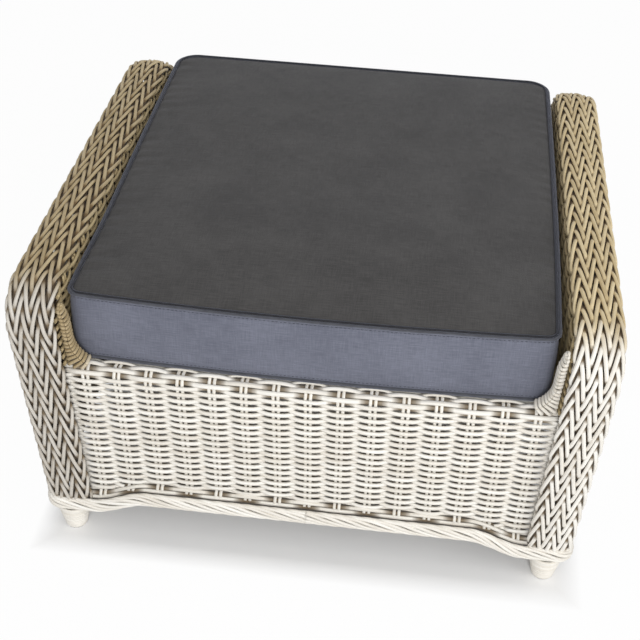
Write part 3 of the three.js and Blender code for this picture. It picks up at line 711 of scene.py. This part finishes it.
def lay_foot_rows(strands, end, places, tones):
    """The last rows and the ends of the stakes, drawn out over the bottom rail down to the rope."""
    level = BORDER_TOP - 9.5
    away = arm_face(level, PANEL_MIDDLE)

    def round_rail(x, lift, radius, turn):
        outward, upward = np.cos(np.radians(turn)), np.sin(np.radians(turn))
        points = np.broadcast_arrays(x, end * (away + radius * outward), level + lift + radius * upward)
        return np.stack(points, -1), np.stack([0 * outward, end * outward, upward], -1)

    reach = hoop_span(level)[1]
    x = np.linspace(-reach, reach, int(2 * reach / (STAKE_PITCH / ROW_SAMPLES)))
    for number, (turn, radius, amp) in enumerate(LAST_ROWS):
        wave = over_under(x, STAKE_PITCH, number + 1)
        radius = radius + amp * wave + waver(1, len(x), 5.0, 0.2)[0]
        points, out = round_rail(x, arch_lift(x, END_ARCH), radius, turn)
        # Painted shade where the row dips under the stakes
        strands.lay(points, out, 5.4, 4.2, dip_shade=0.55 - 0.45 * wave)
    for number, place in enumerate(places):
        for rod, off in enumerate(STAKE_PAIR):
            points, out = round_rail(place + off, arch_lift(place, END_ARCH), 12, np.linspace(104, 28, 9))
            strands.lay(points, out, 4.6, 3.6, tone=tones[2 * number + rod], dip_shade=0.35)


for end, word in ENDS:
    surface = end_surface(end)
    places = STAKES * STAKE_PITCH
    tones = rng.uniform(0, 1, 2 * len(STAKES))
    panel = Strands()
    levels = np.arange(BORDER_TOP + 3.4, ROLL_START, ROW_PITCH)
    above_arch = arch_reach(END_ARCH, hoop_span)
    lay_rows(panel, surface, levels, above_arch, STAKE_PITCH, amp=3.5, tall=6.3, thick=4.5)
    upright = lambda x: (arch_bottom(x, END_ARCH), ROLL_START + 4)
    lay_stakes(panel, surface, places, upright, wide=4.6, thick=3.6, tones=tones)
    lay_foot_rows(panel, end, places, tones)
    panel.build(f"{word}_panel_weave", white_wicker, "wicker_white", f"{word}_panel")
    roll = Strands()
    rolled = np.arange(levels[-1] + ROW_PITCH, ROLL_END - 1, 6.2)
    between = lambda level: [hoop_span(285)]
    lay_rows(roll, surface, rolled, between, STAKE_PITCH, amp=2.3, tall=6.4, thick=4.0, first=len(levels))
    over_rail = lambda x: (ROLL_START - 2, ROLL_END)
    lay_stakes(roll, surface, places, over_rail, wide=4.4, thick=2.8, tones=tones)
    roll.build(f"{word}_rolled_edge", white_wicker, "wicker_white", f"{word}_top_border")


def side_surface(side, place):
    """A flat skin of an arm, at a place across the arm; out is away from the arm's middle."""
    facing = math.copysign(1, place)

    def surface(along, up, out):
        points = np.stack(np.broadcast_arrays(place + facing * out, along, up), -1)
        return arm_to_world(points, side), turn_to_world(np.array([facing, 0.0, 0.0]), side)

    return surface


def half_chord(radius, away):
    return math.sqrt(max(radius**2 - away**2, 0))


def arm_span(inset):
    """From where to where a row of an arm's skin runs at a level, inside the band's lip."""

    def edge(corner, level):
        place, centre, radius = abs(corner[0]), corner[1], corner[2] - inset
        climb = level - centre
        if climb < -radius * math.sin(LEAN_ANGLE):
            return arm_face(level, inset)
        return place + half_chord(radius, climb)

    def span(level):
        front, back = edge(FRONT_CORNER, level), edge(BACK_CORNER, level)
        if level > BACK_CORNER[1] + (BACK_CORNER[2] - inset) * math.cos(TOP_DIP):
            climb = (level - FRONT_CORNER[1]) * math.cos(TOP_DIP)
            back = FRONT_CORNER[0] + (FRONT_CORNER[2] - inset - climb) / math.sin(TOP_DIP)
        return -front, back

    return span


def arm_top(inset, place):
    """The level at which the band's lip ends the stakes of an arm's skin at a place."""
    for corner, beyond in ((FRONT_CORNER, place < FRONT_CORNER[0]), (BACK_CORNER, place > BACK_CORNER[0])):
        if beyond:
            return corner[1] + half_chord(corner[2] - inset, place - corner[0])
    run = FRONT_CORNER[2] - inset + math.sin(TOP_DIP) * (FRONT_CORNER[0] - place)
    return FRONT_CORNER[1] + run / math.cos(TOP_DIP)


SKIN_INSET = 18.6
SKIN_PLACE = HALF_ARM - 5.2
SKIN_TOP = ARM_TOP - 21
span_inside = arm_span(SKIN_INSET)


def side_skin(side, place, bottom, reach, low, *piece, tan_and_top_shade=0.0):
    """An arm's skin, with its rows from the level bottom up and its stakes from the level low(place)."""
    strands = Strands()
    surface = side_surface(side, place)
    levels = np.arange(bottom, SKIN_TOP, ROW_PITCH)
    lay_rows(strands, surface, levels, reach, SIDE_STAKE_PITCH, amp=3.3, tall=5.9, thick=4.2, tan_and_top_shade=tan_and_top_shade)
    places = STAKES * SIDE_STAKE_PITCH
    upright = lambda y: (low(y), arm_top(SKIN_INSET, y))
    lay_stakes(strands, surface, places, upright, wide=4.6, thick=3.4, tan_and_top_shade=tan_and_top_shade)
    strands.build(*piece)


for side, word in SIDES:
    side_skin(
        side, side * SKIN_PLACE, BORDER_TOP + 4.4, arch_reach(SIDE_ARCH, span_inside),
        lambda y: arch_bottom(y, SIDE_ARCH) + 2,
        f"{word}_outer_weave", white_wicker, "wicker_white", f"{word}_outer_side_panel",
    )
    side_skin(
        side, -side * SKIN_PLACE, SEAT + 4.5, lambda level: [span_inside(level)], lambda y: SEAT + 2,
        f"{word}_inner_weave", brown_wicker, "wicker_tan", f"{word}_inner_side_panel", tan_and_top_shade=0.3,
    )


# Rope border: four pairs of rods laid in a long twist, flat and high, round the foot of every skin
BORDER_ACROSS = arm_centre(BORDER_LEVEL) + HALF_ARM - BORDER_INSET
BORDER_FRONT = arm_face(BORDER_LEVEL, BORDER_INSET)
BORDER_TURN = HOOP_INSET - BORDER_INSET
ROPE_LAY = 4 * STAKE_PITCH
ROPE_STEP = 3.5
ROPE_DEEP, ROPE_HIGH = 3.1, 8.6
TAIL = BORDER_FRONT - BORDER_TURN - 11


def border_ring(step):
    """The closed line of the rope seen from above, from the middle of the front, with outward normals."""
    run = BORDER_ACROSS - BORDER_TURN
    depth = BORDER_FRONT - BORDER_TURN
    corner = (run, -depth) + BORDER_TURN * circle(np.linspace(-math.pi / 2, 0, 12))
    half = np.concatenate([[[0, -BORDER_FRONT]], corner, corner[::-1] * [1, -1], [[0, BORDER_FRONT]]])
    s, line = resampled(np.concatenate([half, half[::-1][1:] * [-1, 1]]), step)
    return s, line, right_normals(line, (1, 0))


def stretches(mask):
    """Index ranges where a mask holds, each with the next point, so that neighbours meet."""
    edges = np.flatnonzero(np.diff(np.concatenate([[0], mask, [0]])))
    last = len(mask) - 1
    return [np.arange(start, min(end, last) + 1) for start, end in edges.reshape(-1, 2)]


def rope_piece(word, keep):
    """The part of the rope where keep(x, y) holds."""
    s, line, normal = border_ring(ROPE_STEP)
    x, y = line.T
    on_end = np.abs(y) > BORDER_FRONT - 8
    lift = np.where(on_end, arch_lift(x, END_ARCH), arch_lift(y, SIDE_ARCH))
    lay = s[-1] / round(s[-1] / ROPE_LAY)
    strands = Strands()
    for pair in range(4):
        for rod in (-1, 1):
            wobble = waver(1, len(s), ROPE_STEP, 0.10)[0]
            turn = 2 * math.pi * (pair / 4 + s / lay) + rod * 0.36 + wobble
            outward, upward = np.cos(turn), np.sin(-turn)
            aside = line + ROPE_DEEP * outward[:, None] * normal
            points = np.column_stack([aside, BORDER_LEVEL + lift + ROPE_HIGH * upward])
            out = np.column_stack([normal * outward[:, None], upward])
            # Painted shade on the side of each rod that turns inward
            dip_shade = 0.42 - 0.42 * outward
            for stretch in stretches(keep(x, y)):
                strands.lay(points[stretch], out[stretch], 4.6, 4.4, sides=7, dip_shade=dip_shade[stretch])
    strands.build(f"{word}_rope", white_wicker, "wicker_white", f"{word}_bottom_border")


rope_piece("front", lambda x, y: y < -TAIL)
rope_piece("back", lambda x, y: y > TAIL)
rope_piece("left", lambda x, y: (np.abs(y) <= TAIL) & (x < 0))
rope_piece("right", lambda x, y: (np.abs(y) <= TAIL) & (x > 0))


# Wrapped corners between the rolled edges and the arms: quarter rounds, the front ones drawn up the arm.
# Each is a flat web from its inner rim to the rail and the arm, with a strand wrapped round it in turns.
CORNER_REACH, CORNER_THICK, CORNER_STAND, CORNER_RISE = 46.0, 5.4, 7.0, 100.0
CORNER_START, CORNER_FRONT = -51, 8.2
CORNER_RIM, CORNER_TIP = 43.7, 2.2
TURN_PITCH, TURN_BEND = 6.0, 2.6
WEB_RIM, WEB_HALF = 44.5, 3.6


def corner_turns(foot, stand, rise):
    """Each turn of the wrapping round the web: its place on the rim, on the rail or arm, and its size."""
    turns = []
    centre = np.array([foot, CORNER_REACH])
    for turn in circle(np.radians(np.linspace(CORNER_START, -4, 8))):
        far = min(CORNER_REACH / max(-turn[1], 1e-3), (CORNER_REACH + stand) / max(turn[0], 1e-3))
        turns.append((centre + CORNER_RIM * turn, centre + (far - CORNER_TIP) * turn, 1.0))
    if rise > CORNER_REACH:
        sized = [(q, 1.0) for q in np.arange(CORNER_REACH + 3.2, rise - 5, TURN_PITCH)]
        last = sized[-1][0]
        for q, full in sized + [(last + 3.8, 0.6), (last + 6.0, 0.2)]:
            rim = np.array([CORNER_RIM + foot + 4.5 * float(smooth((q - 72) / 28)), q])
            turns.append((rim, np.array([-CORNER_TIP, q + 1.5]), full))
    return turns


def wrapped_corner(side, end, node_name):
    level = RAIL_LEVEL + 14.1
    wall = side * (arm_centre(level) - HALF_ARM - 1.1)
    middle = arm_face(level, 20 + 8.5)
    stand, rise = (CORNER_STAND, CORNER_RISE) if end < 0 else (0.0, CORNER_REACH)
    foot = -CORNER_REACH - stand

    def world(p, q, t):
        """p towards the arm, q up, t outward from the corner's middle."""
        up = q * math.cos(LEAN_ANGLE) - t * math.sin(LEAN_ANGLE)
        away = t * math.cos(LEAN_ANGLE) + q * math.sin(LEAN_ANGLE)
        return np.stack([wall + side * (p + q * FLARE), end * (middle + away), level + up], -1)

    turns = corner_turns(foot, stand, rise)
    round_rim = np.linspace(0, math.pi, 7)
    strands = Strands()
    for rim, root, full in turns:
        run = np.linalg.norm(root - rim)
        share = np.concatenate([TURN_BEND * (1 - np.sin(round_rim)) / run, [0.5, 1, 1, 0.5, TURN_BEND / run]])
        loop_t = np.concatenate([np.cos(round_rim), [-1, -1, 1, 1, 1]])
        loop_t *= full * np.where(loop_t > 0, CORNER_FRONT, CORNER_THICK)
        spot = rim + (root - rim) * share[:, None]
        points = world(spot[:, 0], spot[:, 1], loop_t)
        out = points - world(*((rim + root) / 2), 0.0)
        index = np.arange(len(points))
        fine = np.linspace(0, index[-1], 40)
        points, out = (
            np.stack([np.interp(fine, index, column) for column in rows.T], 1) for rows in (points, out)
        )
        # The left corners turn tan and take more painted dip shade up the arm, painted shade on that side;
        # the right ones stay pale
        climb = float(smooth((rim[1] - 6) / 10))
        tan_and_top_shade, dip_shade = (climb, 0.6 + 0.2 * climb) if side < 0 else (0.1, 0.6)
        strands.lay(points, unit(out), 4.5, 4.2, tan_and_top_shade=tan_and_top_shade, dip_shade=dip_shade)
    strands.build(f"{node_name}_wrap", white_wicker, "wicker_white", node_name)

    # The solid web behind the wrapping, seen as a dark line between the strands
    arc = circle(np.radians(np.linspace(CORNER_START - 3, 0, 9)))
    outline = list((foot, CORNER_REACH) + WEB_RIM * arc)
    top = rise
    if end < 0:
        top = rise - 9
        outline += [(foot + WEB_RIM, 70), (-4.6, top)]
    outline += [(-0.8, top), (-0.8, 0.8), (turns[0][1][0] - 1, 0.8)]
    p, q = np.array(outline).T
    points = np.concatenate([world(p, q, 0 * p + WEB_HALF), world(p, q, 0 * p - WEB_HALF)]) + (0, MIDDLE, 0)
    count = len(outline)
    faces = [tuple(range(count)), tuple(range(2 * count - 1, count - 1, -1))]
    faces += [(i, (i + 1) % count, count + (i + 1) % count, count + i) for i in range(count)]
    web = bpy.data.meshes.new(f"{node_name}_wrap_core")
    web.from_pydata((points * MILLIMETRE).tolist(), [], faces)
    bm = bmesh.new()
    bm.from_mesh(web)
    bmesh.ops.recalc_face_normals(bm, faces=bm.faces)
    bm.to_mesh(web)
    bm.free()
    place_piece(web.name, web, tube_coat, "frame_tube")


for end, end_word in ENDS:
    for side, word in SIDES:
        wrapped_corner(side, end, f"{end_word}_{word}_corner")


# Feet: a strand wound down a taper, with a flat first and last turn
def wound_foot(foot):
    low, high = laid_box(f"{foot}_sleeve")
    centre = (low + high) / 2
    bottom, thick = 1.2, 5.0
    turns = np.arange(0, 9.4, 1 / 28)
    angle = turns * 2 * math.pi
    share = np.clip((turns - 1) / 7.4, 0, 1)
    level = bottom + thick / 2 + (high[2] - bottom - thick) * share
    radius = (FOOT_BOTTOM + (FOOT_TOP - FOOT_BOTTOM) * share) / 2 - 2.3
    points = np.column_stack([centre[:2] + radius[:, None] * circle(angle), level])
    winding = Strands().lay(points, np.column_stack([circle(angle), 0 * angle]), 5.3, 4.6, sides=8)
    winding.build(f"{foot}_winding", white_wicker, "foot_plastic", f"{foot}_sleeve")


for _, end_word in ENDS:
    for _, word in SIDES:
        wound_foot(f"{end_word}_{word}_foot")


# Seat deck: flat strips woven both ways
def woven_deck():
    low, high = laid_box("seat_deck")
    pitch = 19.0
    strands = Strands()
    for axis in (0, 1):
        other = 1 - axis
        count = int((high[other] - low[other] - 14) / pitch)
        rows = (np.arange(count + 1) - count / 2) * pitch
        for number, row in enumerate(rows):
            length = int((high[axis] - low[axis]) / (pitch / 4))
            place = np.linspace(low[axis] + 1, high[axis] - 1, length)
            wave = np.cos(math.pi * (place - rows[0]) / pitch + math.pi * (number + axis))
            points = np.zeros((length, 3))
            points[:, axis] = place
            points[:, other] = row
            points[:, 2] = high[2] - 2.6 + wave
            # Painted shade where a strip dips under the other way's
            strands.lay(points, (0, 0, 1), 16.4, 1.7, tan_and_top_shade=0.6, dip_shade=0.5 - 0.5 * wave)
    strands.build("seat_deck_weave", brown_wicker, "wicker_tan", "seat_deck")


woven_deck()


# Cushion: a grid of cloth over the box form, swelled by a short simulation with its seams held
HALF_WIDE, HALF_DEEP, HALF_HIGH = 287.2, 312.2, 49.0
CUSHION_LEVEL = SEAT + HALF_HIGH
FRONT_ROUND, BACK_ROUND = 12.0, 30.0
CLOTH_SETTINGS = {
    "quality": 5, "mass": 0.3, "tension_stiffness": 15, "compression_stiffness": 15, "shear_stiffness": 5,
    "bending_stiffness": 0.5, "use_pressure": True, "uniform_pressure_force": 4, "vertex_group_mass": "held",
}
SWELL_FRAMES = 20
# The furthest that the swelling moves the top, the two ends and the rest
TOP_CAP, END_CAP, SIDE_CAP = 7.0, 3.0, 1.2


def cushion_plan(across, along):
    """Rounded, slightly bowed plan of the cushion for shares from -1 to 1."""
    x, y = across * HALF_WIDE, along * HALF_DEEP
    for radius, here in ((FRONT_ROUND, along < 0), (BACK_ROUND, along >= 0)):
        a = (np.abs(x) - HALF_WIDE + radius) / radius
        b = (np.abs(y) - HALF_DEEP + radius) / radius
        inside = here & (a > 0) & (b > 0)
        a, b = np.where(inside, a, 0), np.where(inside, b, 0)
        x = x + np.sign(x) * radius * a * (np.sqrt(1 - b * b / 2) - 1)
        y = y + np.sign(y) * radius * b * (np.sqrt(1 - a * a / 2) - 1)
    bow = np.where(along < 0, 1.5 + 8.0 * (1 - across**2), 0)
    aside = (3.3 - 2.2 * across) * smooth((-along - 0.4) / 0.6)
    return x * (1 + 2.0 * (1 - along**2) / HALF_WIDE) - aside, y * (1 + bow / HALF_DEEP)


def front_fall(across, along):
    """How far the top edge settles at the front, most in the middle."""
    return (1.2 + 1.6 * (1 - across**2)) * smooth((-along - 0.7) / 0.3)


def cushion_grid():
    """Shares of the grid's points, its quads and the face that each quad lies on."""
    count = (94, 102, 16)
    walls = [(axis, end, (slice(None),) * axis + (end,)) for axis in range(3) for end in (0, -1)]
    number = -np.ones([n + 1 for n in count], int)
    shell = np.zeros_like(number, bool)
    for _, _, part in walls:
        shell[part] = True
    number[shell] = np.arange(shell.sum())
    shares = 2 * np.argwhere(shell) / np.array(count) - 1
    quads, faces = [], []
    for axis, end, part in walls:
        sheet = number[part]
        corners = [sheet[:-1, :-1], sheet[1:, :-1], sheet[1:, 1:], sheet[:-1, 1:]]
        if (end == 0) != (axis == 1):
            corners.reverse()
        quads.append(np.stack(corners, -1).reshape(-1, 4))
        faces.append(np.full(len(quads[-1]), 2 * axis + (end == -1)))
    return shares, np.concatenate(quads), np.concatenate(faces)


def cushion_rest(shares):
    """Where the grid's points lie before the cloth swells."""
    across, along, up = shares.T
    x, y = cushion_plan(across, along)
    dome = (1 - across**4) * (1 - along**4)
    swell = 2.4 * (1 - up**2)
    x = x + np.where(np.abs(across) == 1, np.sign(across) * swell, 0)
    y = y + np.where(np.abs(along) == 1, np.sign(along) * swell, 0)
    z = CUSHION_LEVEL + HALF_HIGH * up + np.where(up > 0, (9.5 * dome - front_fall(across, along)) * up, 0)
    return np.stack([x, y + MIDDLE, z], 1)


def grid_mesh(name, points, quads):
    return faced_mesh(name, points, quads.reshape(-1), np.full(len(quads), 4))


def swell_cloth(name, points, quads, held):
    """Blows the cloth up a little with the held points pinned, and gives where its points went."""
    piece = linked(name, grid_mesh(name, points, quads))
    group = piece.vertex_groups.new(name="held")
    group.add(np.flatnonzero(held).tolist(), 1.0, "REPLACE")
    cloth = piece.modifiers.new("cloth", "CLOTH")
    for word, value in CLOTH_SETTINGS.items():
        setattr(cloth.settings, word, value)
    cloth.settings.effector_weights.gravity = 0
    cloth.point_cache.frame_start = 1
    cloth.point_cache.frame_end = SWELL_FRAMES
    for number in range(1, SWELL_FRAMES + 1):
        bpy.context.scene.frame_set(number)
    shaped = piece.evaluated_get(bpy.context.evaluated_depsgraph_get()).data
    moved = read_values(shaped.vertices, "co", np.float32, 3).reshape(-1, 3).astype(float) / MILLIMETRE
    bpy.context.scene.frame_set(1)
    mesh = piece.data
    bpy.data.objects.remove(piece)
    bpy.data.meshes.remove(mesh)
    return moved


def ripples(place, seed, low, high):
    """Uneven waves along a seam."""
    pick = np.random.default_rng(seed)
    total = np.zeros_like(place)
    for _ in range(7):
        wave = pick.uniform(low, high)
        total += np.sin(2 * math.pi * place / wave + pick.uniform(0, 6.3)) * pick.uniform(0.4, 1.0)
    return total / 2.4


def fade(gap, run):
    return np.exp(-gap / run)


def top_relief(x, y, across, along, top):
    """How the top cloth dips into its seam, puckers beside it, most along the left, and creases."""
    from_side = HALF_WIDE * (1 - np.abs(across))
    from_end = HALF_DEEP * (1 - np.abs(along))
    near = np.minimum(from_side, from_end)
    side_size = np.where(across < 0, 3.3, 1.6)
    relief = side_size * fade(from_side, 17) * (1 - fade(from_side, 3)) * ripples(y, 5, 16, 34)
    relief += 0.7 * fade(from_end, 14) * (1 - fade(from_end, 3)) * ripples(x, 9, 24, 60)
    relief -= 2.6 * fade(near, 4.5)
    broad = [noise.noise(Vector((px * 0.009, py * 0.009, 3.0))) for px, py in zip(x[top], y[top])]
    relief[top] += 1.6 * np.array(broad) * (1 - fade(near[top], 40))
    aside = (x + 5 + 0.08 * (y + 300)) / 4.5
    relief -= 1.5 * np.exp(-(aside**2)) * np.exp(-((from_end / 26) ** 2)) * (along < 0)
    return np.where(top, relief, 0)


def cushion_cover():
    shares, quads, faces = cushion_grid()
    rest = cushion_rest(shares)
    across, along, up = shares.T
    on_side, on_end = np.abs(across) == 1, np.abs(along) == 1
    seam = (on_side | on_end) & (np.abs(up) == 1)
    points = rest.copy()
    step = swell_cloth("cushion_swelling", rest, quads, seam | (up == -1)) - rest
    size = np.linalg.norm(step, axis=1) + 1e-6
    cap = np.where(up == 1, TOP_CAP, np.where(on_end, END_CAP, SIDE_CAP))
    points = rest + step * (cap * np.tanh(size / cap) / size)[:, None]
    points[:, 2] = np.maximum(points[:, 2], SEAT + 0.3)
    x, y = rest[:, 0], rest[:, 1] - MIDDLE
    points[:, 2] += top_relief(x, y, across, along, up == 1)

    # The boxing draws in a little at the stitching below and above its seams
    gap = HALF_HIGH * (1 - np.abs(up))
    outward = np.stack([np.sign(across) * on_side, np.sign(along) * on_end], 1)
    outward /= np.maximum(np.linalg.norm(outward, axis=1, keepdims=True), 1)
    uneven = ripples(np.where(on_end, x, y), 15, 40, 110) * np.sin(math.pi * gap / HALF_HIGH / 2)
    draw = 0.5 * uneven - 0.7 * np.exp(-(((gap - 6) / 3) ** 2))
    points[:, :2] += outward * np.where(seam, 0, draw)[:, None]
    tape = (along == 1) & (np.abs(up) < 0.15) & (np.abs(across) < 0.75)
    points[tape, 1] = np.minimum(points[tape, 1], MIDDLE + 314.6)

    name = "cushion_cover_cloth"
    mesh = grid_mesh(name, points, quads)
    store_values(mesh, "face", "INT", "FACE", faces.astype(np.int32))
    solids = ("cushion_cover", "cushion_foam")
    piece = place_piece(name, mesh, cushion_cloth, "cushion_fabric", *solids, body="cushion")
    smoother = piece.modifiers.new("smoother", "SUBSURF")
    smoother.levels = smoother.render_levels = 1
    graph = bpy.context.evaluated_depsgraph_get()
    shaped = bpy.data.meshes.new_from_object(piece.evaluated_get(graph), depsgraph=graph)
    piece.modifiers.clear()
    piece.data = shaped
    bpy.data.meshes.remove(mesh)
    shaped.name = name
    add_thread_places(shaped)


def add_thread_places(mesh):
    """Gives each face corner its place in the cloth, in millimetres along and across the threads."""
    face = read_values(mesh.attributes["face"].data, "value")
    total = read_values(mesh.polygons, "loop_total")
    corner = read_values(mesh.loops, "vertex_index")
    co = read_values(mesh.vertices, "co", np.float32, 3).reshape(-1, 3)[corner] / MILLIMETRE
    which = np.repeat(face, total)[:, None]
    place = np.where(which < 2, co[:, [1, 2, 0]], np.where(which < 4, co[:, [0, 2, 1]], co))
    place[:, 2] = which[:, 0] * FACE_STEP
    store_values(mesh, "cloth", "FLOAT_VECTOR", "CORNER", place.astype(np.float32))


def seam_line(high, step):
    """The closed line of the top or bottom edge from the middle of the back, with outward normals."""
    corners = np.array([(0, 1), (-1, 1), (-1, -1), (1, -1), (1, 1), (0, 1)])
    counts = (200, 400, 400, 400, 200)
    edges = [np.linspace(*ends, count)[:-1] for *ends, count in zip(corners, corners[1:], counts)]
    square = np.concatenate([*edges, corners[-1:]]).T
    s, columns = resampled(np.stack([*cushion_plan(*square), front_fall(*square) * (high > 0)], 1), step)
    line = columns[:, :2]
    return s, line, right_normals(line, (-1, 0)), CUSHION_LEVEL + high * HALF_HIGH - columns[:, 2]


def edge_strand(name, high, proud, rise, size, sides, material, *stands_for, out=None, wander=0.0):
    """One strand round the cushion's top or bottom edge, whose ends meet."""
    s, line, normal, level = seam_line(high, 4.0)
    uneven = wander * ripples(s, 31 + high, 60, 160) * np.sin(math.pi * s / s[-1])
    points = np.column_stack([line + proud * normal, level + rise + uneven])
    points[-1] = points[0]
    strand = Strands().lay(points, out or np.column_stack([normal, 0 * s]), *size, sides=sides)
    strand.build(name, material, "piping_fabric", *stands_for, body="cushion")


def cushion_stitching(high, name):
    s, line, normal, level = seam_line(high, 1.0)
    index = np.arange(6, len(s) - 8, 5)[:, None] + np.arange(4)
    proud = 0.35 + np.array([-0.5, 0.25, 0.25, -0.5])
    aside = line[index] + proud[:, None] * normal[index]
    path = np.concatenate([aside, (level[index] - high * 6.6)[..., None]], -1)
    out = np.concatenate([normal[index], np.zeros((*index.shape, 1))], -1)
    stitches = Strands().lay(path, out, 0.7, 0.7, sides=5)
    stitches.build(name, thread_dark, "piping_fabric", body="cushion")


cushion_cover()
cord = ((4.2, 4.2), 12, cord_cloth)
edge_strand("cushion_top_cord", 1, 1.4, -1.9, *cord, "cushion_top_piping", wander=0.25)
edge_strand("cushion_bottom_cord", -1, 0.6, 1.9, *cord, "cushion_bottom_piping", wander=0.25)
cushion_stitching(1, "cushion_top_stitching")
cushion_stitching(-1, "cushion_bottom_stitching")
# A near-black strand sunk in the seam between the top and its piping: a painted shadow in the crease
edge_strand("cushion_top_seam_shadow", 1, -1.9, 0.5, (3.4, 1.8), 6, seam_shadow_cloth, out=(0, 0, 1))


# Zip: woven tape with a coil of teeth on each half
def zip_tape():
    low, high = laid_box("zip_tape")
    middle = (low[2] + high[2]) / 2
    pitch = 1.4
    tape, coil = Strands(), Strands()
    x = np.arange(low[0] + 1, high[0] - 1, 3.0)
    for side in (-1, 1):
        path = np.stack([x, 0 * x + high[1] - 1.7, 0 * x + middle + side * 2.35], 1)
        tape.lay(path, (0, 1, 0), 4.0, 1.3, sides=8)
        turn = np.arange(0, (x[-1] - x[0]) / pitch * 2 * math.pi, math.pi / 4)
        ring = (high[1] - 0.85, middle + side * 0.75) + circle(turn) * (0.6, side * 0.75)
        ring = np.column_stack([x[0] + turn * pitch / (2 * math.pi), ring])
        coil.lay(ring, np.column_stack([0 * turn, circle(turn) * (1, side)]), 0.5, 0.5, sides=5)
    tape.build("zip_tape_halves", zip_cloth, "zip_plastic", "zip_tape", body="cushion")
    coil.build("zip_coil", zip_nylon, "zip_plastic", body="cushion")


zip_tape()


# Camera, floor and light
def add_camera():
    data = bpy.data.cameras.new("camera")
    data.sensor_width = 36
    data.lens = 69.92
    data.shift_y = -0.0625
    yaw, pitch, roll = math.radians(5.78), math.radians(90 - 36.93), math.radians(1.82)
    turn = Matrix.Rotation(yaw, 4, "Z") @ Matrix.Rotation(pitch, 4, "X") @ Matrix.Rotation(roll, 4, "Z")
    camera = linked("camera", data)
    camera.matrix_world = Matrix.Translation((0.1217, -1.4415 + MIDDLE * MILLIMETRE, 1.3042)) @ turn
    bpy.context.scene.camera = camera


def add_floor():
    """A pale floor, white to the camera except under the object, where its shadow falls."""
    half = 12 / MILLIMETRE
    square = half * np.array([(-1, -1, 0), (1, -1, 0), (1, 1, 0), (-1, 1, 0)])
    floor = linked("floor", faced_mesh("floor", square, np.arange(4), np.array([4])))
    m = Nodes(bpy.data.materials.new("pale_floor"))
    fine = m.noise(m.coordinates(), 3.0, 2.0, 0.5)
    m.set(colour=m.mix(fine, (0.90, 0.90, 0.90), (0.88, 0.88, 0.88)), roughness=0.9, specular=0.1)
    glow = m.node("Emission", {"Strength": 1.0})[0]
    place = m.separate(m.coordinates())
    reach = m.math("MAXIMUM", m.math("ABSOLUTE", place[0]), m.math("ABSOLUTE", place[1]))
    share = m.times(m.seen(), m.ramp(reach, 0.335, 0.37, 0.0, 0.96))
    m.link(m.node("MixShader", {0: share, 1: m.shader.outputs[0], 2: glow})[0], m.surface)
    floor.data.materials.append(m.holder)


def add_light(name, place, size, power):
    data = bpy.data.lights.new(name, "AREA")
    data.shape = "DISK"
    data.size = size
    data.energy = power
    lamp = linked(name, data)
    lamp.location = place
    target = Vector((0, 0, 0.2))
    lamp.rotation_euler = (target - Vector(place)).to_track_quat("-Z", "Y").to_euler()


def add_world():
    world = bpy.data.worlds.new("studio")
    bpy.context.scene.world = world
    m = Nodes(world, "Background", "OutputWorld")
    m.link((1, 1, 1), m.shader.inputs["Color"])
    lamp_strength = 0.42
    m.link(m.ramp(m.seen(), 0.0, 1.0, lamp_strength, 1.0), m.shader.inputs["Strength"])


add_camera()
add_floor()
add_world()
add_light("key", place=(0.4, -3.1, 2.1), size=1.6, power=64)
add_light("fill", place=(2.4, -1.6, 1.9), size=2.0, power=26)
bpy.context.scene.view_settings.view_transform = "Standard"
